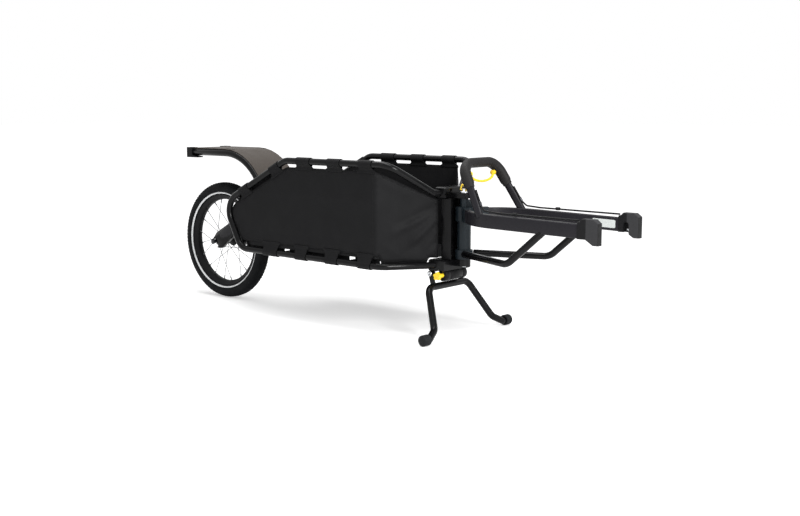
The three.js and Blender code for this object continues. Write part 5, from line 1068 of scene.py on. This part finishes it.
# %% Release bail
BAIL_HEIGHT = 473
BAIL_STATION = handle_at(BAIL_HEIGHT)[0] - 7
bow_turns = [math.pi * i / 24 for i in range(25)]
bow = [at(BAIL_STATION + 5 * math.sin(turn), -56 * math.cos(turn), BAIL_HEIGHT - 22 * math.sin(turn))
       for turn in bow_turns]
parts = [tube("bail_wire", bow, 3.6, yellow_nylon, 16, 0.6)]
for sign in (1, -1):
    hub_line, pin_line = ([at(BAIL_STATION, sign * side, BAIL_HEIGHT) for side in span]
                          for span in ((50, 62), (61, 80)))
    parts.append(tube("bail_hub", hub_line, 7, yellow_nylon, 24, 1.2))
    parts.append(tube("bail_pin", pin_line, 2.5, plated_steel, 16, 0.4))
bail = keep(joined("release_bail_moulded", parts), "release_bail", "release_bail", slot="yellow_plastic")
print("bail faces", len(bail.data.polygons))

# %% [markdown]
# A cable leaves each end of the grip, runs down in front of the handle's leg and along the top of the arm
# to its hitch block. It is held all the way, so it is a tube along a fixed line, with a steel stop and a
# plastic clip.


# %% Release cables
def beside_leg(height):
    """Where the cable runs, just in front of the leg."""
    station, side, _ = handle_at(height)
    return [station + 17.15, side, height]


CABLE = [(145, 104, 378.5, 14), (190, 106, 375.2, 60), (240, ARM_SIDE, 374.6, 60), (443, ARM_SIDE, 372.6)]
route = [beside_leg(433), beside_leg(391) + [14]]
route += [(HEAD_STATION + corner[0], *corner[1:]) for corner in CABLE]
sheath_line = bent_line(route, 6)
sheath = tube("release_cable_left_sheath", sheath_line, 2.5, cable_sheath, 16, 0.4)
stop_line = [at(*beside_leg(402)), at(*beside_leg(391))]
stop = tube("release_cable_left_stop", stop_line, 3.8, spring_steel, 20, 0.8)
clip_line = [head_at(241, ARM_SIDE, 375.4), head_at(254, ARM_SIDE, 375.3)]
clip = tube("release_cable_left_clip", clip_line, 5.4, black_nylon, 20, 1.6, 4.6, Vector((0, 1, 0)))
cable = joined("release_cable_left_whole", [sheath, stop, clip])
keep_pair(cable, "yoke", "release_cable", "cable_plastic")
print("cable run", round(sum((b - a).length for a, b in zip(sheath_line, sheath_line[1:])), 3), "m")

# %% [markdown]
# ## Hitch blocks
# Each arm ends in a grey moulded block. Its recessed neck and its front face, which points ahead, are painted
# black as shade. The CAD shape is right, so it is dressed and cut where the painted shade starts, and its
# faces take one of two materials by where they lie and which way they face.

# %% Hitch blocks
SHADED_NECK_END = HEAD_STATION + 469
for side in ("left", "right"):
    block = dressed("hitch_block_" + side, block_nylon, 1.2, (SHADED_NECK_END,), 36)
    # The second material is painted shade: black nylon on the recessed neck and on the faces that point
    # ahead.
    block.data.materials.append(black_nylon)
    for face in block.data.polygons:
        station = face.center.x / MM + AXLE_TO_MIDDLE
        face.material_index = int(station < SHADED_NECK_END or face.normal.x > 0.7)
    keep(block, "yoke", "hitch_block_" + side, slot="block_plastic")
    keep_dressed("hitch_latch_" + side, "hitch_latch_" + side, "bolt_steel", plated_steel, 0.5)
    print(block.name, "faces", len(block.data.polygons))

# %% [markdown]
# ## The sling
# Each side of the sling is one panel of coated cloth, stretched between the rails by loops that wrap
# them. It bends in along a crease at the front and runs to the head. The panel is laid out flat here: the
# first coordinate runs forward along the cloth, past the crease too, the second is the height.

# %% Panel pattern
CREASE, CLOTH = 850, 1.8
WEDGE_RUN, WEDGE_TURN_IN = 963 - CREASE, HOOP_SIDE - 48
WEDGE_LENGTH = math.hypot(WEDGE_RUN, WEDGE_TURN_IN)
FRONT = CREASE + WEDGE_LENGTH
PANEL_REAR, PANEL_TOP, WEDGE_TOP = 235.6, 478, 394
PANEL_LOW, CREASE_LOW, WEDGE_LOW = 240, 233.2, 226


def cloth_place(along, height, out):
    """From the flat pattern to the left side of the trailer; out is measured outwards from the cloth."""
    if along <= CREASE:
        return at(along, HOOP_SIDE + out, height)
    share = (along - CREASE) / WEDGE_LENGTH
    normal = Vector((WEDGE_TURN_IN, WEDGE_RUN)) / WEDGE_LENGTH
    return at(CREASE + WEDGE_RUN * share + normal.x * out,
              HOOP_SIDE - WEDGE_TURN_IN * share + normal.y * out, height)


def bottom_edge(along):
    if along <= CREASE:
        return PANEL_LOW + (along - RAIL_REAR[0]) * RAIL_SLOPE
    return CREASE_LOW + (along - CREASE) / WEDGE_LENGTH * (WEDGE_LOW - CREASE_LOW)


def top_edge(along):
    if along <= CREASE:
        return PANEL_TOP
    return PANEL_TOP + (along - CREASE) / WEDGE_LENGTH * (WEDGE_TOP - PANEL_TOP)


print("front wedge", round(WEDGE_LENGTH, 1), "mm long")

# %% [markdown]
# The pattern is cut with rounded corners and a lower flap at the front. Loops are sewn on where the rails
# are bare of joints: three at the top, four at the bottom and two on the slanted rear rail.

# %% Pattern and loops
TOP_TABS = [(543, 599), (669, 720), (794, 843)]
BOTTOM_TABS = [(395, 455), (533, 579), (658, 707), (788, 837)]
SLANT_TABS = [(291, 327), (428, 464)]
pattern = rounded_outline([(FRONT, WEDGE_TOP, 4), (CREASE, PANEL_TOP, 6), (496.8, PANEL_TOP, 39),
                           (PANEL_REAR, 342.5, 45), (289.2, PANEL_LOW, 30), (CREASE, CREASE_LOW, 2),
                           (CREASE + 12, 232, 5), (CREASE + 20, 209, 5), (CREASE + 66, 209, 8),
                           (CREASE + 80, 212, 8), (FRONT - 34, 212, 4), (FRONT - 26, 227, 4),
                           (FRONT, WEDGE_LOW, 3)], 6)


def resampled(outline, spacing):
    """The closed outline with points about this far apart."""
    points = []
    for here, after in zip(outline, outline[1:] + outline[:1]):
        count = max(1, round((after - here).length / spacing))
        points += [here.lerp(after, i / count) for i in range(count)]
    return points


def tab_places():
    """Middle, half width, rail direction, inward direction and inset of each loop, in the flat pattern."""
    slant = (Vector(SLANT_TOP) - Vector(KNUCKLE)).normalized()
    rail = (Vector(RAIL_FRONT) - Vector(RAIL_REAR)).normalized()
    rows = ((TOP_TABS, lambda station: TOP_RAIL, Vector((1, 0)), Vector((0, -1)), 19),
            (BOTTOM_TABS, rail_height, rail, Vector((-rail.y, rail.x)), 27),
            (SLANT_TABS, slant_height, slant, Vector((slant.y, -slant.x)), 20))
    tabs = []
    for spans, height_at, along, inward, inset in rows:
        for low, high in spans:
            middle = (low + high) / 2
            half = (high - low) / 2
            if spans is SLANT_TABS:
                half = half * slant.length / slant.x
            tabs.append((Vector((middle, height_at(middle))), half, along, inward, inset))
    return tabs


TABS = tab_places()
print("loops on each side", len(TABS))

# %% [markdown]
# Cloth that is pulled between loops isn't flat. It stands out a little in the middle, is pulled flat at
# each loop and folds where the pull runs slantwise at the front. A cloth simulation could find such a
# form. Here it is worked out instead, as a swell, a pull at each loop and a list of fold lines, so that
# each fold can be set where it lies on the real cloth, and the panel comes out the same on each run.


# %% Folds
def ridge(point, start, end, width):
    """How near a point is to a fold line, from 0 to 1; a fold is highest at the middle of its line."""
    line = end - start
    share = min(max((point - start).dot(line) / line.length_squared, 0), 1)
    gap = (point - start - line * share).length
    fade = math.sin(math.pi * share) * 0.5 + 0.5
    return math.exp(-(gap / width) ** 2) * fade


# start, end, height and width of each fold
FOLDS = [((905, 300), (1000, 352), 7.4, 9), ((962, 276), (1034, 342), 7.0, 8),
         ((995, 262), (1034, 306), 6.0, 7), ((1008, 236), (1034, 258), 4.4, 7),
         ((940, 330), (1020, 372), -6.0, 9), ((950, 250), (1020, 290), -5.0, 8),
         ((872, 446), (950, 408), 2.2, 9), ((930, 232), (880, 262), 2.0, 10)]


def cloth_out(point):
    """How far the stretched cloth stands out at a point: pulled flat at the loops, loose between them."""
    along, height = point
    low, high = bottom_edge(along), top_edge(along)
    across = (height - low) / max(high - low, 1)
    swell = 3.2 * math.sin(math.pi * min(max(across, 0), 1))
    swell *= 0.6 + 0.4 * math.sin(along / 61 + 0.6) * math.sin(height / 47)
    pull = 0.0
    for middle, half, rail, inward, inset in TABS:
        offset = point - (middle + inward * inset)
        sideways, depth = offset.dot(rail), offset.dot(inward)
        for corner in (-half, half):
            line = abs(sideways - corner * (1 + max(depth, 0) / 90))
            pull += math.exp(-(line / 7) ** 2) * math.exp(-max(depth, 0) / 34)
    fold = sum(size * ridge(point, Vector(start), Vector(end), width) for start, end, size, width in FOLDS)
    if along > CREASE:
        return swell * 0.7 + pull + fold - 2.4 * math.exp(-((along - 938) / 18) ** 2)
    bands = 1.1 * math.exp(-((height - 396) / 9) ** 2) - 1.1 * math.exp(-((height - 272) / 9) ** 2)
    return swell * 0.7 + pull + fold + bands


print("cloth stands out", round(cloth_out(Vector((600, 350))), 2), "mm at its middle")

# %% [markdown]
# The panel's mesh follows its pattern: points on the edge, on the crease and on an even triangular grid
# between them are joined by a triangulation, and then every point is set in its place on the trailer. A
# Grid and a Boolean could make it too, but they leave slivers at the rounded edge.


# %% Side panel
def cloth_sheet(name, spacing):
    """The panel as a closed skin: two faces of the cloth and a thin edge all round."""
    edge = resampled(pattern, spacing)
    crease = [Vector((CREASE, z)) for z in np.arange(243, 470, spacing)]
    inside = []
    for along in np.arange(240, FRONT, spacing):
        for height in np.arange(228, PANEL_TOP, spacing):
            spot = Vector((along + (spacing / 2 if round(height / spacing) % 2 else 0), height))
            if abs(spot.x - CREASE) < spacing * 0.5:
                continue
            if min((spot - other).length for other in edge) > spacing * 0.62 and within(spot, edge):
                inside.append(spot)
    count = len(edge)
    rim = [(i, (i + 1) % count) for i in range(count)]
    points, _, triangles = delaunay_2d_cdt(edge + crease + inside, rim, [], 1, 1e-6)[:3]
    mesh = bmesh.new()
    outer = [mesh.verts.new(cloth_place(*point, cloth_out(point) + CLOTH / 2)) for point in points]
    inner = [mesh.verts.new(cloth_place(*point, cloth_out(point) - CLOTH / 2)) for point in points]
    layer = mesh.loops.layers.uv.new("cloth")
    flat = {}
    for vertex, point in list(zip(outer, points)) + list(zip(inner, points)):
        flat[vertex] = point * MM
    for a, b, c in triangles:
        mesh.faces.new((outer[a], outer[b], outer[c]))
        mesh.faces.new((inner[c], inner[b], inner[a]))
    place_of = {vertex: number for number, vertex in enumerate(outer)}
    for seam in [e for e in mesh.edges if e.is_boundary and e.verts[0] in place_of]:
        a, b = (place_of[vertex] for vertex in seam.verts)
        mesh.faces.new((outer[a], outer[b], inner[b], inner[a]))
    bmesh.ops.recalc_face_normals(mesh, faces=mesh.faces)
    for face in mesh.faces:
        for loop in face.loops:
            loop[layer].uv = flat[loop.vert]
    return piece_from(mesh, name, sling_cloth)


def within(point, outline):
    """Whether a point is inside an outline, by counting crossings."""
    odd = False
    for here, after in zip(outline, outline[1:] + outline[:1]):
        if (here.y > point.y) != (after.y > point.y):
            if point.x < here.x + (point.y - here.y) / (after.y - here.y) * (after.x - here.x):
                odd = not odd
    return odd


panel = cloth_sheet("sling_side_left_cloth", 9.0)
print("panel faces", len(panel.data.polygons))

# %% [markdown]
# The loops are strips of the same cloth. Each starts on the panel's outer face, wraps its rail and comes
# back to the inner face, where two seams hold it. A strip widens at its root, so that its pull spreads.


# %% Rail loops
def loop_path(inset):
    """The strip's section from seam to seam: how far outward, and how far in from the rail's middle."""
    radius, wall = HOOP_RADIUS + 1.5, 1.9
    points = [(wall, depth) for depth in (inset + 7, inset + 3, inset - 0.5, inset - 4)]
    start = math.pi / 2 - 0.62
    for step in range(25):
        turn = -start + (math.pi + 2 * start) * step / 24
        points.append((radius * math.cos(turn), -radius * math.sin(turn)))
    points += [(-wall, depth) for depth in (inset - 4, inset - 0.5, inset + 3, inset + 7)]
    return points


def loop_strip(name, tab):
    """One loop: rows of points across the strip, set along its section; the strip is 1.6 mm thick."""
    middle, half, rail, inward, inset = tab
    path = loop_path(inset)
    thick = 0.8
    columns = [-1, -0.985, -0.8, -0.5, 0, 0.5, 0.8, 0.985, 1]
    mesh = bmesh.new()
    layer = mesh.loops.layers.uv.new("cloth")
    rows, flat, run = [], {}, 0.0
    for i, (out, depth) in enumerate(path):
        before, after = Vector(path[max(i - 1, 0)]), Vector(path[min(i + 1, len(path) - 1)])
        along = (after - before).normalized()
        normal = Vector((along.y, -along.x))
        if i:
            run += (Vector(path[i]) - Vector(path[i - 1])).length
        flare = 8 * min(max((depth - inset + 9) / 9, 0), 1) ** 2
        ring = []
        for side in (1, -1):
            for column in (columns if side == 1 else reversed(columns)):
                sideways = column * (half + flare)
                spot = middle + rail * sideways + inward * (depth + normal.y * thick * side)
                lift = out + normal.x * thick * side
                if depth > inset - 2:
                    lift += cloth_out(Vector((spot.x, spot.y))) * (1 if depth > inset else 0.7)
                vertex = mesh.verts.new(cloth_place(spot.x, spot.y, lift))
                flat[vertex] = (sideways * MM, run * MM)
                ring.append(vertex)
        rows.append(ring)
    for one, two in zip(rows, rows[1:]):
        for i in range(len(one)):
            j = (i + 1) % len(one)
            mesh.faces.new((one[i], one[j], two[j], two[i]))
    for ring in (rows[0], rows[-1]):
        for i in range(len(columns) - 1):
            mesh.faces.new((ring[i], ring[i + 1], ring[-2 - i], ring[-1 - i]))
    bmesh.ops.recalc_face_normals(mesh, faces=mesh.faces)
    for face in mesh.faces:
        for corner in face.loops:
            corner[layer].uv = flat[corner.vert]
    return piece_from(mesh, name, sling_cloth)


loops = joined("sling_side_left_loops", [loop_strip(f"rail_loop_{i}", tab) for i, tab in enumerate(TABS)])
print("loop faces", len(loops.data.polygons))

# %% [markdown]
# A folded hem edges the panel, sewn in two rows, and each loop has a row of its own. The seam tree sets the
# stitches a little above the cloth. The cloth's flat area is that of its pattern.

# %% Stitches
SEAM_LIFT = CLOTH / 2 + 0.25


def seam_line(inset, out):
    """A line that follows the panel's edge on its outer face, inset from it."""
    edge = resampled(pattern, 6)
    line = []
    for before, here, after in zip(edge[-1:] + edge[:-1], edge, edge[1:] + edge[:1]):
        run = (after - before).normalized()
        spot = here + Vector((-run.y, run.x)) * inset
        line.append(cloth_place(spot.x, spot.y, cloth_out(spot) + out))
    return line + line[:1]


def tab_seam(tab, depth, out):
    """A line across the root of a loop."""
    middle, half, rail, inward, inset = tab
    line = []
    for step in range(13):
        spot = middle + rail * (half + 5) * (step / 6 - 1) + inward * (inset + depth)
        line.append(cloth_place(spot.x, spot.y, cloth_out(spot) + out))
    return line


seams = [seam_line(4, SEAM_LIFT), seam_line(10, SEAM_LIFT)]
seams += [tab_seam(tab, 5, CLOTH / 2 + 1.9) for tab in TABS]
crease_spots = [Vector((CREASE - 6, height)) for height in range(244, 470, 6)]
seams.append([cloth_place(spot.x, spot.y, cloth_out(spot) + SEAM_LIFT) for spot in crease_spots])
stitches = stitched("sling_side_left_stitches", seams, "frame")

pieces = [(panel, loops, stitches), tuple(mirrored(piece, piece.name.replace("left", "right"))
                                          for piece in (panel, loops, stitches))]
for side, (cloth, strips, threads) in zip(("left", "right"), pieces):
    keep(cloth, "frame", "sling_side_" + side, slot="sling_fabric")
    keep(strips, "frame", slot="sling_fabric")
    if side == "right":
        keep(threads, "frame", slot="sling_fabric")

# %% [markdown]
# The floor of the sling is a second sheet, laid over the two cross tubes and led up to the rear tube. Its
# CAD solid already lies so, and it is dressed. The weave needs a map in metres, and two directions of
# each point's place are near enough for a sheet that is mostly flat.


# %% Sling floor
def map_cloth(piece, first, second):
    """Gives a cloth piece its own map, in metres, from two directions of its place."""
    layer = piece.data.uv_layers.new(name="cloth")
    for loop in piece.data.loops:
        place = piece.data.vertices[loop.vertex_index].co
        layer.data[loop.index].uv = (place[first], place[second])
    return piece


floor_cloth = map_cloth(dressed("sling_floor", sling_cloth, 0.4, angle=40), 0, 1)
keep(floor_cloth, "frame", "sling_floor", slot="sling_fabric")

# %% [markdown]
# Between the cross tubes, the floor's edge turns down to the rails in a short hem, and one more hem
# follows the slanted rail. Each is a thin strip of the same cloth, cut to the gap that it fills.

# %% Floor hems
HEM_SIDE, HEM_TOP = 180.4, 228
hem_spans = [[(298, rail_height(298), 2), (298, 246, 4), (328, HEM_TOP, 2), (469, HEM_TOP, 0),
              (469, rail_height(469), 2)]]
for low, high in ((491, 739), (761, 857)):
    hem_spans.append([(low, rail_height(low), 2), (low, HEM_TOP, 0), (high, HEM_TOP, 0),
                      (high, rail_height(high), 2)])
hem_spans.append([(286, slant_height(286) - 26, 3), (286, slant_height(286) - 4, 3),
                  (458, slant_height(458) - 4, 3), (458, slant_height(458) - 26, 3)])
hems = []
for number, span in enumerate(hem_spans):
    hems.append(slab(f"hem_{number}", rounded_outline(span), HEM_SIDE, HEM_SIDE + 1.2, sling_cloth, 0.3))
left_hems = map_cloth(joined("sling_hems_left", hems), 0, 2)
right_hems = mirrored(left_hems, "sling_hems_right")
for hem in (left_hems, right_hems):
    keep(hem, "frame", slot="sling_fabric")
print("hems", len(hem_spans), "on each side")

# %% [markdown]
# ## The floor
# The trailer stands on a plain white sweep. The floor shows white wherever no shadow falls, and keeps the
# soft shadow of the object. It glows only where it is looked at or mirrored, so it sheds no light on the
# object, and the glow rises further away, where no shadow is wanted.


# %% Floor
def background_ray(tree):
    """1 where the background is looked at, mirrored or seen through something, and 0 for its light."""
    sight = add(tree, "ShaderNodeLightPath")
    seen = sight.outputs["Is Camera Ray"]
    for ray in ("Is Glossy Ray", "Is Transmission Ray"):
        seen = add(tree, "ShaderNodeMath", {"operation": "MAXIMUM"},
                   {0: seen, 1: sight.outputs[ray]}).outputs[0]
    return seen


floor_material = bpy.data.materials.new("white_sweep")
floor_material.use_nodes = True
tree = floor_material.node_tree
tree.nodes.clear()
white = add(tree, "ShaderNodeBsdfDiffuse", {}, {"Color": (0.9, 0.9, 0.9, 1)})
spot = add(tree, "ShaderNodeTexCoord")
away = add(tree, "ShaderNodeVectorMath", {"operation": "LENGTH"}, {0: spot.outputs["Object"]})
rise = add(tree, "ShaderNodeMapRange", {}, {
    "Value": away.outputs["Value"], "From Min": 0.9, "From Max": 4.0, "To Min": 0.42, "To Max": 0.8})
lift = add(tree, "ShaderNodeMath", {"operation": "MULTIPLY"}, {
    0: background_ray(tree), 1: rise.outputs["Result"]})
glow = add(tree, "ShaderNodeEmission", {}, {"Color": (1, 1, 1, 1), "Strength": lift.outputs[0]})
both = add(tree, "ShaderNodeAddShader", {}, {0: white.outputs[0], 1: glow.outputs[0]})
add(tree, "ShaderNodeOutputMaterial", {}, {"Surface": both.outputs[0]})
FLOOR_REACH, FLOOR_LEVEL = 30, -0.0008
corners = [(x * FLOOR_REACH, y * FLOOR_REACH, FLOOR_LEVEL) for x, y in ((-1, -1), (1, -1), (1, 1), (-1, 1))]
stage_mesh = bpy.data.meshes.new("studio_floor")
stage_mesh.from_pydata(corners, [], [(0, 1, 2, 3)])
stage_mesh.materials.append(floor_material)
stage = bpy.data.objects.new("studio_floor", stage_mesh)
bpy.context.scene.collection.objects.link(stage)
stage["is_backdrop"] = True
print("floor is", 2 * FLOOR_REACH, "m wide")

# %% [markdown]
# ## World and lights
# The world is white where it is seen or mirrored, and a plain grey light otherwise. Three large, soft lights
# stand over, ahead of and beside the object, like the boxes of a photographic studio: the wide overhead one
# draws long highlights on the rails.

# %% World and lights
world = bpy.data.worlds.new("white_room")
bpy.context.scene.world = world
world.use_nodes = True
tree = world.node_tree
tree.nodes.clear()
level = add(tree, "ShaderNodeMapRange", {}, {"Value": background_ray(tree), "To Min": 0.4, "To Max": 1.0})
glow = add(tree, "ShaderNodeBackground", {}, {"Color": (1, 1, 1, 1), "Strength": level.outputs["Result"]})
add(tree, "ShaderNodeOutputWorld", {}, {"Surface": glow.outputs[0]})


def softbox(name, place, target, size, power):
    """A rectangular area light at a place, turned to a target."""
    light = bpy.data.lights.new(name, "AREA")
    light.shape, light.size, light.size_y, light.energy = "RECTANGLE", size[0], size[1], power
    lamp = bpy.data.objects.new(name, light)
    lamp.location = place
    lamp.rotation_euler = (Vector(target) - Vector(place)).to_track_quat("-Z", "Y").to_euler()
    bpy.context.scene.collection.objects.link(lamp)


softbox("overhead_box", (-0.1, -0.2, 2.3), (0, 0, 0.2), (2.8, 1.0), 52)
softbox("front_box", (2.7, -1.1, 1.3), (0.3, -0.1, 0.3), (0.9, 1.3), 84)
softbox("camera_box", (-0.6, -3.2, 1.9), (0, 0, 0.3), (1.4, 0.8), 6)
bpy.context.scene.view_settings.view_transform = "Standard"
print("lamps", len(bpy.data.lights))

# %% [markdown]
# ## Finish
# The box round everything drawn is set beside the box of the CAD model, because dressing a model must not
# change its size.

# %% Finish
drawn_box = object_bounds()
sizes = {"cad": [list(corner) for corner in cad_box], "visual": [list(corner) for corner in drawn_box]}
print("visual box", [tuple(round(value, 4) for value in corner) for corner in drawn_box])
